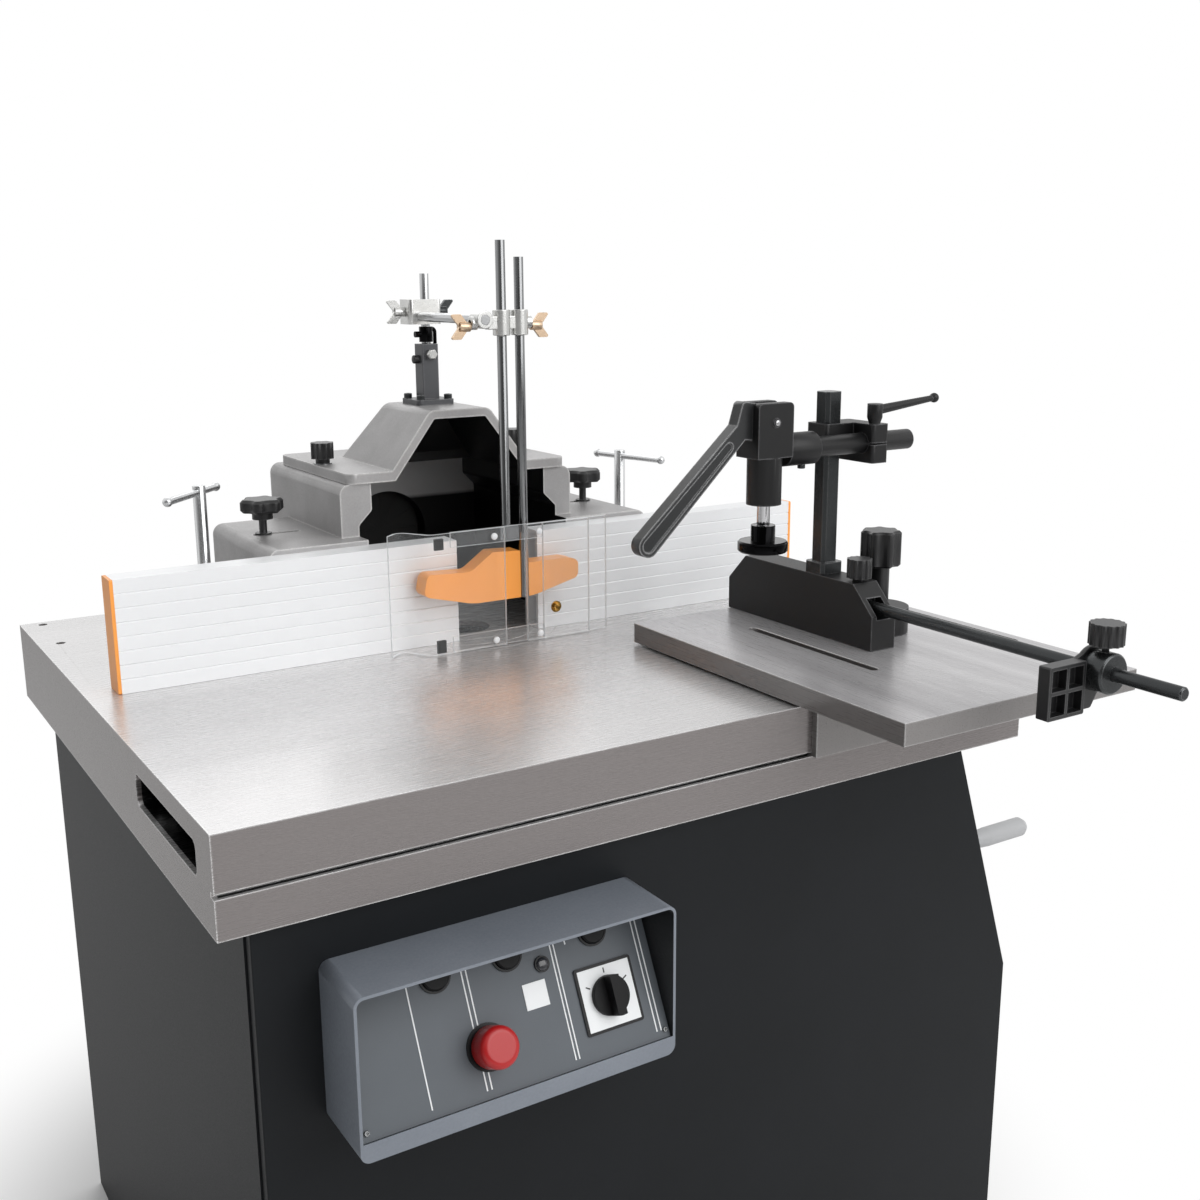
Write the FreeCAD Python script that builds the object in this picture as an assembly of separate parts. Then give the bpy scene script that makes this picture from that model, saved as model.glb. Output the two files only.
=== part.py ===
import FreeCAD, Part
import math
import os

# A floor-standing spindle moulder, in millimetres.
# X runs along the fence to the right, Y to the back, Z up.
# The origin is on the floor, under the axis of the spindle.

# Clearances
RUN = 0.05                  # radial, shaft in its hole
SLIDE = 0.2                 # between flat faces that slide on each other
FREE = 0.5                  # between pieces that pass each other

# Table casting
TABLE_TOP = 870.0           # height of the working surface
TABLE_WIDTH = 1000.0
TABLE_DEPTH = 858.0
TABLE_EDGE = 100.0          # height of the skirt
TABLE_PLATE = 30.0          # thickness of the top plate
TABLE_WALL = 22.0
TABLE_RIB = 14.0
RIB_HEIGHT = 50.0
RIB_SPAN = 400.0            # between the two long ribs
SPINDLE_SETBACK = 520.0     # front edge to spindle axis
OPENING_R = 125.0
OPENING_BOSS = 40.0         # wall of the boss round the opening
BOSS_DEPTH = 60.0           # from the working surface
TABLE_FOOT = 60.0           # side of the pads that stand on the cabinet
GROOVE_DROP = 58.0          # front groove below the working surface
GROOVE_HEIGHT = 5.0
GROOVE_DEPTH = 9.0

# Table rings
RING_THICK = 10.0
RING_LEDGE = 6.0
RING_BORES = (92.0, 64.0, 36.0)

# Holes for a power feeder, back left of the table
FEEDER_HOLE_R = 6.0
FEEDER_EDGE = 27.0          # first row from the left edge
FEEDER_BACK = 15.0          # first row from the back edge
FEEDER_SPACING_X = 130.0
FEEDER_SPACING_Y = 115.0

# Spindle lock lever in the left side of the table
LEVER_SLOT_LENGTH = 205.0
LEVER_SLOT_HEIGHT = 34.0
LEVER_DROP = 40.0           # lever below the working surface
LEVER_SETBACK = 150.0       # pivot behind the front edge
LEVER_INSET = 170.0         # pivot inside the left edge
LEVER_PIN_R = 8.0
LEVER_HUB_R = 18.0
LEVER_TAIL = 55.0
LEVER_WIDTH = 14.0
LEVER_THICK = 8.0
LEVER_REST = 29.0           # degrees towards the back
BALL_R = 8.5

# Cabinet
LEFT_INSET = 30.0           # left wall inside the table's edge
SHOULDER_INSET = 85.0       # right wall inside the table's edge, under the table
BACK_INSET = 8.0            # back wall inside the table's edge
FLARE_OUT = 103.0           # how far the right wall flares out below
FLARE_HEIGHT = 453.0        # floor to the foot of the flare
SHEET = 4.0
FRONT_LIP = 30.0
TOP_FLANGE = 70.0
BACK_FLANGE = 25.0
FLOOR_FLANGE = 80.0
FLOOR_BOLT_INSET = 40.0     # anchor holes inside the left and back walls
FLOOR_BOLT_R = 7.0
LOUVRE_COUNT = 7
LOUVRE_LENGTH = 220.0
LOUVRE_HEIGHT = 8.0
LOUVRE_PITCH = 22.0
LOUVRE_Z = 420.0

# Front panel
PANEL_SETBACK = 12.0        # behind the front edge of the table
PANEL_DEPTH = 14.0
PANEL_GAP = 2.0             # shadow gap round the panel
PANEL_KICK = 24.0           # above the floor

# Control housing on the front panel: a sheet box round a control plate that slopes
HOUSING_INSET = 93.0        # its left side inside the table's edge
HOUSING_WIDTH = 341.0
HOUSING_HEIGHT = 163.0
HOUSING_TOP = 149.0         # below the working surface
HOUSING_REACH = 82.0
HOUSING_SHEET = 3.0
HOUSING_CORNER = 10.0
FASCIA_TILT = 26.5          # degrees from upright, foot forward
FASCIA_TOP = 8.0            # face in front of the panel, under the visor
FASCIA_LENGTH = 158.0       # down the slope
FASCIA_THICK = 5.0

# Controls: places across are shares between the outermost ones, places down follow the slope
CONTROL_MARGIN = 62.0       # side of the housing to the outermost controls
BUTTON_R = 14.0
BUTTON_BEZEL = 2.5
BUTTON_PROUD = 6.0
BUTTON_CHAMFER = 1.5
BUTTON_SHARES = (0.19, 0.544, 0.99)
BUTTON_DOWN = 34.5
BUTTON_TRAVEL = 4.0
LAMP_R = 8.0
LAMP_SHARE = 0.705
LAMP_DOWN = 53.0
SELECTOR_SHARE = 1.0
SELECTOR_DOWN = 101.0
SELECTOR_PAD = 66.0
SELECTOR_PAD_THICK = 2.0
SELECTOR_PAD_CORNER = 3.0
SELECTOR_R = 20.0
SELECTOR_REACH = 20.0
STOP_R = 20.0
STOP_SHARE = 0.364
STOP_DOWN = 112.0
STOP_REACH = 30.0

# Spindle, quill and guide
SPINDLE_STROKE = 125.0
ARBOR_R = 15.0
ARBOR_LENGTH = 126.0
ARBOR_DROP = 14.0           # top of the arbor below the working surface
ARBOR_CHAMFER = 2.0
ARBOR_SHOULDER = 4.0        # above the quill
PULLEY_SEAT_R = 14.0
JOURNAL_R = 22.5
QUILL_R = 65.0
QUILL_LENGTH = 320.0
QUILL_BORE = 30.0
BEARING_R = 42.5
BEARING_WIDTH = 19.0
BEARING_LIP = 6.0           # quill end face to bearing
COLLAR_R = 25.0
COLLAR_HEIGHTS = (10.0, 20.0, 20.0, 30.0)
ARBOR_NUT_R = 24.0
ARBOR_NUT_HEIGHT = 14.0
GUIDE_LENGTH = 240.0
GUIDE_WALL = 20.0
GUIDE_FLANGE_R = 160.0
GUIDE_FLANGE = 14.0

# Belt drive and motor, hung on the quill
PULLEY_R = 32.0
MOTOR_PULLEY_R = 62.0
PULLEY_WIDTH = 30.0
PULLEY_DROP = 45.0          # quill foot to pulley
BELT_THICK = 4.0
MOTOR_OFFSET = 205.0        # behind the spindle axis
MOTOR_R = 82.0
MOTOR_LENGTH = 215.0
MOTOR_FINS = 20
FIN_DEPTH = 9.0
FIN_SHARE = 0.6             # of half the fin pitch that is flat
MOTOR_SHAFT_R = 12.0
MOTOR_BOX = 90.0            # terminal box, square
MOTOR_BOX_DEPTH = 36.0
MOTOR_BOX_SINK = 4.0        # into the fins' roots
BRACKET_THICK = 18.0
BRACKET_COLLAR = 22.0       # wall of the clamp round the quill
BRACKET_RISE = 12.0         # quill foot to bracket

# Rise and fall drive: rack on the quill, pinion, worm
MODULE = 2.5
PINION_TEETH = 18
PRESSURE_ANGLE = 20.0
BACKLASH = 0.3
DEDENDUM = 1.25             # root below the pitch line, in modules
RACK_FLAT = 2.0             # rack tips below the side of the quill
FLANK_POINTS = 5            # along each side of a pinion tooth
PINION_FACE = 20.0
PINION_SHAFT_R = 8.0
WHEEL_R = 40.0
WHEEL_WIDTH = 20.0
WORM_R = 14.0
WORM_LENGTH = 46.0
WHEELSHAFT_R = 10.0
HANDWHEEL_DROP = 284.0      # axis below the working surface
HANDWHEEL_SETBACK = 185.0   # axis behind the front edge
LIFT_WALL = 14.0

# Handwheel
RIM_R = 85.0                # centre line of the rim
RIM_SECTION = 8.0
HANDWHEEL_OUT = 4.0         # plane of the rim outside the right wall
HUB_R = 24.0
HUB_LENGTH = 34.0
HUB_CHAMFER = 4.0
SPOKES = 3
SPOKE_ROOT = 22.0
SPOKE_TIP = 15.4
SPOKE_THICK = 9.0
GRIP_R = 13.0
GRIP_NECK_R = 10.4
GRIP_END_R = 9.1
GRIP_LENGTH = 108.0
GRIP_PIN_R = 5.0

# Hood casting behind the fence
FENCE_SETBACK = 452.0       # fence face behind the front edge of the table
FENCE_THICK = 35.0
FENCE_HEIGHT = 132.0
WING_SPAN = 544.0
WING_DEPTH = 222.0
WING_HEIGHT = 138.0
WING_WALL = 10.0
CHEEK_SPAN = 334.0
CHEEK_SETBACK = 28.0        # cheek front behind wing front
CHEEK_HEIGHT = 205.0
CHEEK_LENGTH = 258.0
CHEEK_ROUND = 14.0
CHAMBER_UPPER = 250.0
CHAMBER_LOWER = 286.0
CHAMBER_STEP = 152.0        # height where the chamber narrows
CHAMBER_BACK = 14.0         # back wall
PORT_R = 60.0
PORT_WALL = 4.0
PORT_LENGTH = 58.0
PORT_HEIGHT = 92.0
FOOT_OUT = 32.0             # foot beyond the clamp bolt
FOOT_DEPTH = 120.0
FOOT_THICK = 14.0

# Clamp bolts that hold the hood to the table
BOLT_OUT = 41.0             # axis beyond the end of the hood's wing
BOLT_BACK = 95.0            # behind the spindle axis
BOLT_R = 8.0
BOLT_HEIGHT = 205.0
BOLT_COLLAR_R = 15.0
BOLT_COLLAR = 10.0
BOLT_GRIP = 28.0            # depth in the table
BOLT_BOSS_R = 20.0
TOMMY_R = 4.5
TOMMY_LENGTH = 126.0
TOMMY_KNOB_R = 6.0
TOMMY_DROP = 8.0
TOMMY_SLIDE = 18.0          # bar pushed towards its front end
TOMMY_TURN_LEFT = -43.0     # degrees from the Y axis
TOMMY_TURN_RIGHT = 14.0
HOOD_FORWARD = 15.0         # travel of the hood on the table
HOOD_BACKWARD = 40.0

# Lid with its raised hat
LID_WIDTH = 314.0
LID_DEPTH = 245.0
LID_THICK = 13.0
LID_OVERHANG = 5.0          # in front of the cheeks
LID_CORNER = 12.0
HAT_FOOT = 194.0
HAT_TOP = 84.0
HAT_HEIGHT = 73.0
HAT_LENGTH = 168.0
HAT_LEAN = 28.0
HAT_WALL = 11.0
HAT_ROUND = 15.0
HAT_INNER_ROUND = 2.0       # least rounding inside
LID_KNOB_SPAN = 288.0
LID_KNOB_BACK = 118.0       # behind the lid's front edge
LID_KNOB_R = 15.5
LID_KNOB_HEIGHT = 28.0
LID_KNOB_HUB_R = 9.3
LID_KNOB_LOBES = 8
LID_KNOB_LOBE = 1.0
LID_STUD_R = 5.0
LID_STUD_DEPTH = 30.0

# Fence plates
LEFT_PLATE_OUT = 466.0      # spindle axis to the outer end
LEFT_PLATE_IN = 39.0
RIGHT_PLATE_IN = 78.0
RIGHT_PLATE_OUT = 507.0
FENCE_GROOVES = 7
FENCE_GROOVE = 2.4
FENCE_SKIN = 4.0
FENCE_CELLS = 3
CAP_THICK = 4.0
CARRIER_WIDTH = 30.0
CARRIER_THICK = 14.0
CARRIER_LENGTH = 140.0
CARRIER_HEIGHT = 96.0
PLATE_OUTWARD = 8.0         # travel of a fence plate from rest
PLATE_INWARD = 42.0

# Star knobs on the wings
STAR_SPAN = 478.0
STAR_BACK = 80.0            # behind the spindle axis
STAR_R = 28.0
STAR_LOBES = 6
STAR_LOBE = 2.6
STAR_THICK = 17.0
STAR_CHAMFER = 3.5
STAR_HUB_R = 13.0
STAR_HUB = 9.0
STAR_WASHER_R = 10.4
STAR_WASHER = 2.2
STAR_STUD_R = 5.0
STAR_STUD = 20.0            # stud between wing and hub

# Post on the hat that carries the guard and the pressure shoe
POST_BACK = 85.0
POST_FLANGE = 54.0
POST_FLANGE_THICK = 7.0
POST_FLANGE_CORNER = 6.0
POST_SIDE = 24.0
POST_CORNER = 2.0
POST_HEIGHT = 72.0
FLANGE_SCREW_R = 5.0
FLANGE_SCREW = 6.0
THUMB_R = 4.0
THUMB = 7.0                 # thumb screws outside their piece
POST_BOLT_R = 5.0
POST_BOLT = 8.0
ROD_R = 6.0
POST_ROD_LENGTH = 91.0      # above the post
POST_ROD_DEPTH = 40.0       # in the post
POST_COLLAR_R = 9.0
POST_COLLAR = 20.0
HOOK_R = 2.5
HOOK_REACH = 13.0
HOOK_SINK = 1.0             # into the collar

# Cross clamp, cross rod and double clamp
CROSS_CLAMP_WIDTH = 46.0
CROSS_CLAMP_DEPTH = 34.0
CROSS_CLAMP_HEIGHT = 32.0
CROSS_CLAMP_CORNER = 5.0
CROSS_CLAMP_LIFT = 26.0     # above the post
CROSS_ROD_RISE = 10.0       # above the foot of the cross clamp
CROSS_ROD_OFFSET = 14.0     # beside the post rod
CROSS_ROD_BACK = 18.0       # behind the post rod
DOUBLE_DEPTH = 24.0
DOUBLE_HEIGHT = 40.0
DOUBLE_CORNER = 6.0
DOUBLE_WAIST = 6.0
DOUBLE_RISE = 28.0          # cross rod above the foot of the double clamp
WING_HUB_R = 6.0
WING_HUB = 14.0
WING_FLARE = 12.0
WING_SPREAD = 15.0
WING_TIP_ROUND = 2.0
WING_STUD_R = 4.0
WING_STUD = 9.0

# Clear guard
GUARD_FRONT = 52.0          # guard face in front of the fence face
GUARD_LEFT = 146.0
GUARD_RIGHT = 126.0
GUARD_SHEET = 4.0
GUARD_HEIGHT = 151.0
GUARD_LIFT = 1.5            # above the table
GUARD_SLOT_X = 3.0
GUARD_SLOT = 31.0
GUARD_STRIP = 19.0
GUARD_STRIP_LEFT = 70.0
GUARD_STRIP_RIGHT = 60.0
GUARD_WING = 155.0          # right end of the extension sheet
GUARD_WAVE_X = 100.0        # where the left end leaves the plane of the sheet
GUARD_WAVE_BACK = 40.0      # how far it curves back
GUARD_WAVE_RUN = 24.0
GUARD_WAVE_ROUND = 12.0
GUARD_ROD_X = 14.0
GUARD_ROD_LENGTH = 366.0
GUARD_SADDLE = 26.0
GUARD_ROD_GAP = 8.33        # behind the sheet

# Pressure shoe
SHOE_LEFT = 103.0
SHOE_RIGHT = 119.0
SHOE_THICK = 26.0
SHOE_FACE = 2.0             # shoe face in front of the rod's axis
SHOE_LIFT = 56.0
SHOE_HEIGHT = 44.0
SHOE_HUMP = 19.0
SHOE_RISE = 17.0            # curve of the ends
SHOE_TOE = 68.0             # length of the curve at each end
SHOE_SOLE_R = 85.0
SHOE_CROWN_R = 6.0
SHOE_NECK_R = 3.0
SHOE_NECK_DROP = 2.0
SHOE_ROD_X = 39.0
SHOE_ROD_LENGTH = 424.0

# Sliding table plate
PLATE_LEFT = 140.0
PLATE_WIDTH = 353.0
PLATE_DEPTH = 481.0
PLATE_OVERHANG = 165.0
PLATE_THICK = 25.0
PAD_THICK = 3.0
PAD_WIDTH = 40.0
PLATE_SLOTS = (108.0, 334.0)
PLATE_SLOT_WIDTH = 11.0
PLATE_SLOT_LENGTH = 225.0
PLATE_SLOT_FRONT = 155.0
GUIDE_BAR = 8.0             # thickness of the angle under the plate
GUIDE_BAR_LEG = 42.0
GUIDE_BAR_INSET = 25.0      # its ends inside the plate's sides

# Mitre fence on the sliding plate
MITRE_ACROSS = 153.0        # its face from the plate's left edge
MITRE_WIDTH = 37.0
MITRE_LENGTH = 271.0
MITRE_HEIGHT = 75.0
MITRE_SETBACK = 213.0       # from the plate's front edge
MITRE_SLOPE = 34.0
MITRE_ROUND = 2.0
MITRE_FOOT_R = 37.0
MITRE_FOOT_OUT = 78.0       # foot centre from the mitre face
MITRE_FOOT_BACK = 72.0      # foot centre from the front end
MITRE_FOOT_HEIGHT = 32.0
MITRE_NECK = 23.0           # half width of the foot where it leaves the body
LOBE_STUD_R = 6.0
LOBE_KNOB_R = 25.0
LOBE_KNOB_HEIGHT = 44.0
LOBE_KNOB_LOBES = 7
LOBE_KNOB_LOBE = 2.1
LOBE_KNOB_CHAMFER = 2.5
LOBE_KNOB_LIFT = 50.0       # above the foot
LOBE_HUB_R = 12.0
SET_KNOB_R = 15.0
SET_KNOB_HEIGHT = 23.0
SET_KNOB_LOBES = 12
SET_KNOB_LOBE = 0.75
SET_KNOB_BACK = 44.0        # from the front end of the mitre fence
SET_STUD_R = 4.0
SET_KNOB_LIFT = 4.0

# Stop rod and flip stop
STOP_ROD_R = 7.0
STOP_ROD_HEIGHT = 48.0      # above the plate
STOP_ROD_OUT = 397.0        # in front of the mitre fence
STOP_ROD_IN = 150.0
STOP_ROD_PUSH = 30.0
STOP_MOUTH = 22.0           # side of the square mouth in the mitre fence
STOP_MOUTH_DEPTH = 27.0
FLIP_AT = 289.0             # flip stop in front of the mitre fence
FLIP_THICK = 14.0
FLIP_REACH = 74.0
FLIP_DROP = 40.0
FLIP_RISE = 14.0
FLIP_WEB = 4.0
FLIP_CORNER = 2.0
FLIP_HUB_R = 24.0
FLIP_HUB = 5.0              # thickness of the hub
STOP_COLLAR_R = 21.0
STOP_COLLAR = 25.0
STOP_KNOB_R = 17.5
STOP_KNOB_HEIGHT = 22.0
STOP_KNOB_LOBES = 14
STOP_KNOB_LOBE = 0.73
STOP_STUD_R = 3.5
STOP_STUD = 7.0

# Eccentric clamp on its post
CLAMP_POST_SIDE = 24.0
CLAMP_POST_CHAMFER = 4.0
CLAMP_POST_BACK = 107.0     # from the front end of the mitre fence
CLAMP_POST_HEIGHT = 219.0
CLAMP_SOCKET = 34.0
CLAMP_SOCKET_HEIGHT = 14.0
ARM_R = 12.0
ARM_FORWARD = 32.0          # arm axis in front of the post axis
ARM_HEIGHT = 159.0          # arm axis above the mitre fence
ARM_LENGTH = 195.0
ARM_COLLAR_R = 19.0
ARM_COLLAR = 46.0
ARM_CHAMFER = 2.0
HEAD_OUT = 122.0            # plunger axis from the post axis
CLAMP_BLOCK = 25.0          # width of the bracket's arm block
CLAMP_BLOCK_OUT = 24.0      # arm block from the post axis
CLAMP_EARS = 40.0
CLAMP_BLOCK_HEIGHT = 46.0
CLAMP_CORNER = 4.0
CLAMP_SPLIT = 2.0
CLAMP_TONGUE = 27.0
CLAMP_WALL = 18.0           # bracket beyond the post axis
RATCHET_HUB_R = 9.0
RATCHET_HUB = 24.0
RATCHET_REACH = 96.0
RATCHET_FOOT_R = 6.3
RATCHET_ROOT_R = 5.85
RATCHET_TIP_R = 3.6
RATCHET_BALL_R = 5.85
RATCHET_TILT = 6.0          # degrees
RATCHET_STUD_R = 3.0
RATCHET_INSET = 6.0         # stud from the inner side of the arm block
BARREL_R = 20.0
BARREL_LENGTH = 54.0
YOKE_WIDTH = 50.0
YOKE_DEPTH = 40.0
YOKE_HEIGHT = 62.0
YOKE_SLOT = 17.0
YOKE_CORNER = 6.0
CAM_R = 19.0
CAM_PIN_R = 5.0
CAM_PIN_RISE = 40.0         # above the foot of the yoke
CAM_PIN_PROUD = 2.0
LEVER_ARM_LENGTH = 184.0
LEVER_ARM_ROOT = 20.0
LEVER_ARM_TIP = 25.0
LEVER_ARM_ANGLE = 43.0      # below the horizontal
LEVER_CROWN = 6.0           # rise of the lever's head over the cam
LEVER_RIM = 5.0
LEVER_HOLLOW = 2.0
LEVER_NECK = 38.0           # pivot to the bend of the lever
LEVER_DIP = 7.6             # bend below the pivot
PLUNGER_R = 7.5
PLUNGER_SHOW = 24.0
PLUNGER_LIFT = 12.0
PAD_HUB_R = 14.0
PAD_HUB = 18.0
PAD_R = 29.0
PAD_DISC = 13.0
PAD_CHAMFER = 2.0

# Places worked out from the sizes above
table_left = -TABLE_WIDTH / 2
table_right = TABLE_WIDTH / 2
table_front = -SPINDLE_SETBACK
table_back = TABLE_DEPTH - SPINDLE_SETBACK
table_foot = TABLE_TOP - TABLE_EDGE
cabinet_left = table_left + LEFT_INSET
cabinet_shoulder = table_right - SHOULDER_INSET
cabinet_right = cabinet_shoulder + FLARE_OUT
cabinet_back = table_back - BACK_INSET
floor_bolt_x = -cabinet_left - FLOOR_BOLT_INSET
floor_bolt_y = cabinet_back - FLOOR_BOLT_INSET
plate_under = TABLE_TOP - TABLE_PLATE
lever_x = table_left + LEVER_INSET
lever_y = table_front + LEVER_SETBACK
lever_z = TABLE_TOP - LEVER_DROP
panel_front = table_front + PANEL_SETBACK
panel_back = panel_front + PANEL_DEPTH
housing_left = table_left + HOUSING_INSET
housing_right = housing_left + HOUSING_WIDTH
housing_top = TABLE_TOP - HOUSING_TOP
housing_foot = housing_top - HOUSING_HEIGHT
housing_front = panel_front - HOUSING_REACH
visor_foot = housing_top - HOUSING_SHEET
fascia_front = panel_front - FASCIA_TOP
quill_top = TABLE_TOP - ARBOR_DROP - ARBOR_LENGTH
quill_foot = quill_top - QUILL_LENGTH
arbor_seat = quill_top + ARBOR_SHOULDER
arbor_top = TABLE_TOP - ARBOR_DROP
pulley_top = quill_foot - PULLEY_DROP
pulley_foot = pulley_top - PULLEY_WIDTH
bracket_foot = quill_foot + BRACKET_RISE
bracket_top = bracket_foot + BRACKET_THICK
motor_foot = bracket_top
motor_top = motor_foot + MOTOR_LENGTH
guide_top = TABLE_TOP - BOSS_DEPTH
guide_foot = guide_top - GUIDE_LENGTH
pinion_pitch_r = MODULE * PINION_TEETH / 2
rack_tip = QUILL_R - RACK_FLAT
pinion_x = rack_tip - MODULE + pinion_pitch_r
handwheel_x = cabinet_right + HANDWHEEL_OUT
handwheel_y = table_front + HANDWHEEL_SETBACK
handwheel_z = TABLE_TOP - HANDWHEEL_DROP
pinion_z = handwheel_z + WORM_R + WHEEL_R + FREE
fence_front = table_front + FENCE_SETBACK
fence_back = fence_front + FENCE_THICK
wing_front = fence_back + SLIDE
wing_top = TABLE_TOP + WING_HEIGHT
bolt_x = WING_SPAN / 2 + BOLT_OUT
cheek_front = wing_front + CHEEK_SETBACK
cheek_back = cheek_front + CHEEK_LENGTH
lid_foot = TABLE_TOP + CHEEK_HEIGHT
lid_top = lid_foot + LID_THICK
lid_front = cheek_front - LID_OVERHANG
hat_top = lid_top + HAT_HEIGHT
post_top = hat_top + POST_FLANGE_THICK + POST_HEIGHT
cross_rod_x = -CROSS_ROD_OFFSET
cross_foot = post_top + CROSS_CLAMP_LIFT
cross_z = cross_foot + CROSS_ROD_RISE
cross_screw_z = cross_foot + CROSS_CLAMP_HEIGHT / 2
guard_front = fence_front - GUARD_FRONT
guard_back = guard_front + GUARD_SHEET
rods_y = guard_back + GUARD_ROD_GAP + ROD_R
double_left = cross_rod_x - ROD_R - SLIDE - WING_STUD
double_right = SHOE_ROD_X + ROD_R + SLIDE + WING_STUD
double_foot = cross_z - DOUBLE_RISE
double_z = double_foot + DOUBLE_HEIGHT / 2
guard_foot = TABLE_TOP + GUARD_LIFT
shoe_front = rods_y - SHOE_FACE
shoe_foot = TABLE_TOP + SHOE_LIFT
plate_foot = TABLE_TOP + PAD_THICK
plate_top = plate_foot + PLATE_THICK
plate_front = table_front - PLATE_OVERHANG
plate_back = plate_front + PLATE_DEPTH
plate_right = PLATE_LEFT + PLATE_WIDTH
mitre_left = PLATE_LEFT + MITRE_ACROSS
mitre_right = mitre_left + MITRE_WIDTH
mitre_x = mitre_left + MITRE_WIDTH / 2
mitre_front = plate_front + MITRE_SETBACK
mitre_back = mitre_front + MITRE_LENGTH
mitre_foot = plate_top + SLIDE
mitre_top = mitre_foot + MITRE_HEIGHT
pivot_x = mitre_left + MITRE_FOOT_OUT
pivot_y = mitre_front + MITRE_FOOT_BACK
stop_z = mitre_foot + STOP_ROD_HEIGHT
flip_back = mitre_front - FLIP_AT
flip_front = flip_back - FLIP_THICK
collar_back = flip_back - FLIP_HUB - SLIDE
collar_front = collar_back - STOP_COLLAR
collar_y = (collar_front + collar_back) / 2
clamp_y = mitre_front + CLAMP_POST_BACK
arm_y = clamp_y - ARM_FORWARD
arm_z = mitre_top + ARM_HEIGHT
ratchet_x = mitre_x + CLAMP_BLOCK_OUT + RATCHET_INSET
ratchet_y = arm_y - ARM_R - RATCHET_STUD_R - RUN
head_x = mitre_x - HEAD_OUT
yoke_foot = arm_z - ARM_R / 2
barrel_foot = yoke_foot - BARREL_LENGTH
cam_z = yoke_foot + CAM_PIN_RISE


def vec(x, y, z):
    return FreeCAD.Vector(x, y, z)


def box(x0, x1, y0, y1, z0, z1):
    return Part.makeBox(x1 - x0, y1 - y0, z1 - z0, vec(x0, y0, z0))


def bar_x(y, z, x0, x1, r):
    return Part.makeCylinder(r, x1 - x0, vec(x0, y, z), vec(1, 0, 0))


def bar_y(x, z, y0, y1, r):
    return Part.makeCylinder(r, y1 - y0, vec(x, y0, z), vec(0, 1, 0))


def bar_z(x, y, z0, z1, r):
    return Part.makeCylinder(r, z1 - z0, vec(x, y, z0), vec(0, 0, 1))


def fuse(first, *others):
    return first.multiFuse(list(others)).removeSplitter()


def cut(first, *tools):
    return first.cut(list(tools))


def group(*solids):
    return Part.makeCompound(list(solids))


def outline(corners, place):
    """Closed wire through corners (u, v, radius), each rounded by its radius; place maps u, v to space."""
    points = [FreeCAD.Vector(u, v, 0) for u, v, _ in corners]
    ends = []
    for i, (_, _, radius) in enumerate(corners):
        before = (points[i - 1] - points[i]).normalize()
        after = (points[(i + 1) % len(points)] - points[i]).normalize()
        half = before.getAngle(after) / 2
        reach = radius / math.tan(half)
        bisector = (before + after).normalize() if radius else before
        middle = points[i] + bisector * (radius / math.sin(half) - radius)
        ends.append((points[i] + before * reach, middle, points[i] + after * reach))
    spots = [[place(p.x, p.y) for p in end] for end in ends]
    edges = []
    for i, (start, middle, end) in enumerate(spots):
        if corners[i][2]:
            edges.append(Part.Arc(start, middle, end).toShape())
        onward = spots[(i + 1) % len(spots)][0]
        if end.distanceToPoint(onward) > 1e-6:
            edges.append(Part.LineSegment(end, onward).toShape())
    return Part.Wire(edges)


def slab_xy(corners, z0, z1):
    return Part.Face(outline(corners, lambda u, v: vec(u, v, z0))).extrude(vec(0, 0, z1 - z0))


def slab_xz(corners, y0, y1):
    return Part.Face(outline(corners, lambda u, v: vec(u, y0, v))).extrude(vec(0, y1 - y0, 0))


def slab_yz(corners, x0, x1):
    return Part.Face(outline(corners, lambda u, v: vec(x0, u, v))).extrude(vec(x1 - x0, 0, 0))


def strap(near, near_r, far, far_r, place):
    """Face inside a band stretched round two circles, given by their centres (u, v) and radii."""
    start, end = FreeCAD.Vector(*near, 0), FreeCAD.Vector(*far, 0)
    along = (end - start).normalize()
    side = FreeCAD.Vector(-along.y, along.x, 0)
    tilt = math.asin((near_r - far_r) / start.distanceToPoint(end))

    def spot(centre, radius, turn):
        point = centre + along * (radius * math.cos(turn)) + side * (radius * math.sin(turn))
        return place(point.x, point.y)

    lean = math.pi / 2 - tilt
    left = [spot(start, near_r, lean), spot(end, far_r, lean)]
    right = [spot(start, near_r, -lean), spot(end, far_r, -lean)]
    edges = [Part.LineSegment(*left).toShape(),
             Part.Arc(left[1], spot(end, far_r, 0), right[1]).toShape(),
             Part.LineSegment(right[1], right[0]).toShape(),
             Part.Arc(right[0], spot(start, near_r, math.pi), left[0]).toShape()]
    return Part.Face(Part.Wire(edges))


def sharp(points):
    return [(u, v, 0) for u, v in points]


def rounded_box(u0, u1, v0, v1, radius):
    return [(u0, v0, radius), (u1, v0, radius), (u1, v1, radius), (u0, v1, radius)]


def slot_box(u0, u1, v0, v1):
    """Outline of a slot with round ends."""
    return rounded_box(u0, u1, v0, v1, min(u1 - u0, v1 - v0) / 2)


def level_edges(shape):
    return [edge for edge in shape.Edges if edge.BoundBox.ZLength < 1e-6]


def turned(profile, x, y):
    """Solid of revolution about the upright line through x, y; profile holds (radius, height)."""
    wire = Part.makePolygon([vec(x + r, y, z) for r, z in profile + profile[:1]])
    return Part.Face(wire).revolve(vec(x, y, 0), vec(0, 0, 1), 360)


def turned_x(profile, y, z):
    """Solid of revolution about a line along X; profile holds (radius, x)."""
    wire = Part.makePolygon([vec(x, y + r, z) for r, x in profile + profile[:1]])
    return Part.Face(wire).revolve(vec(0, y, z), vec(1, 0, 0), 360)


def ring(x, y, z0, z1, outer, inner):
    return cut(bar_z(x, y, z0, z1, outer), bar_z(x, y, z0, z1, inner))


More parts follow.
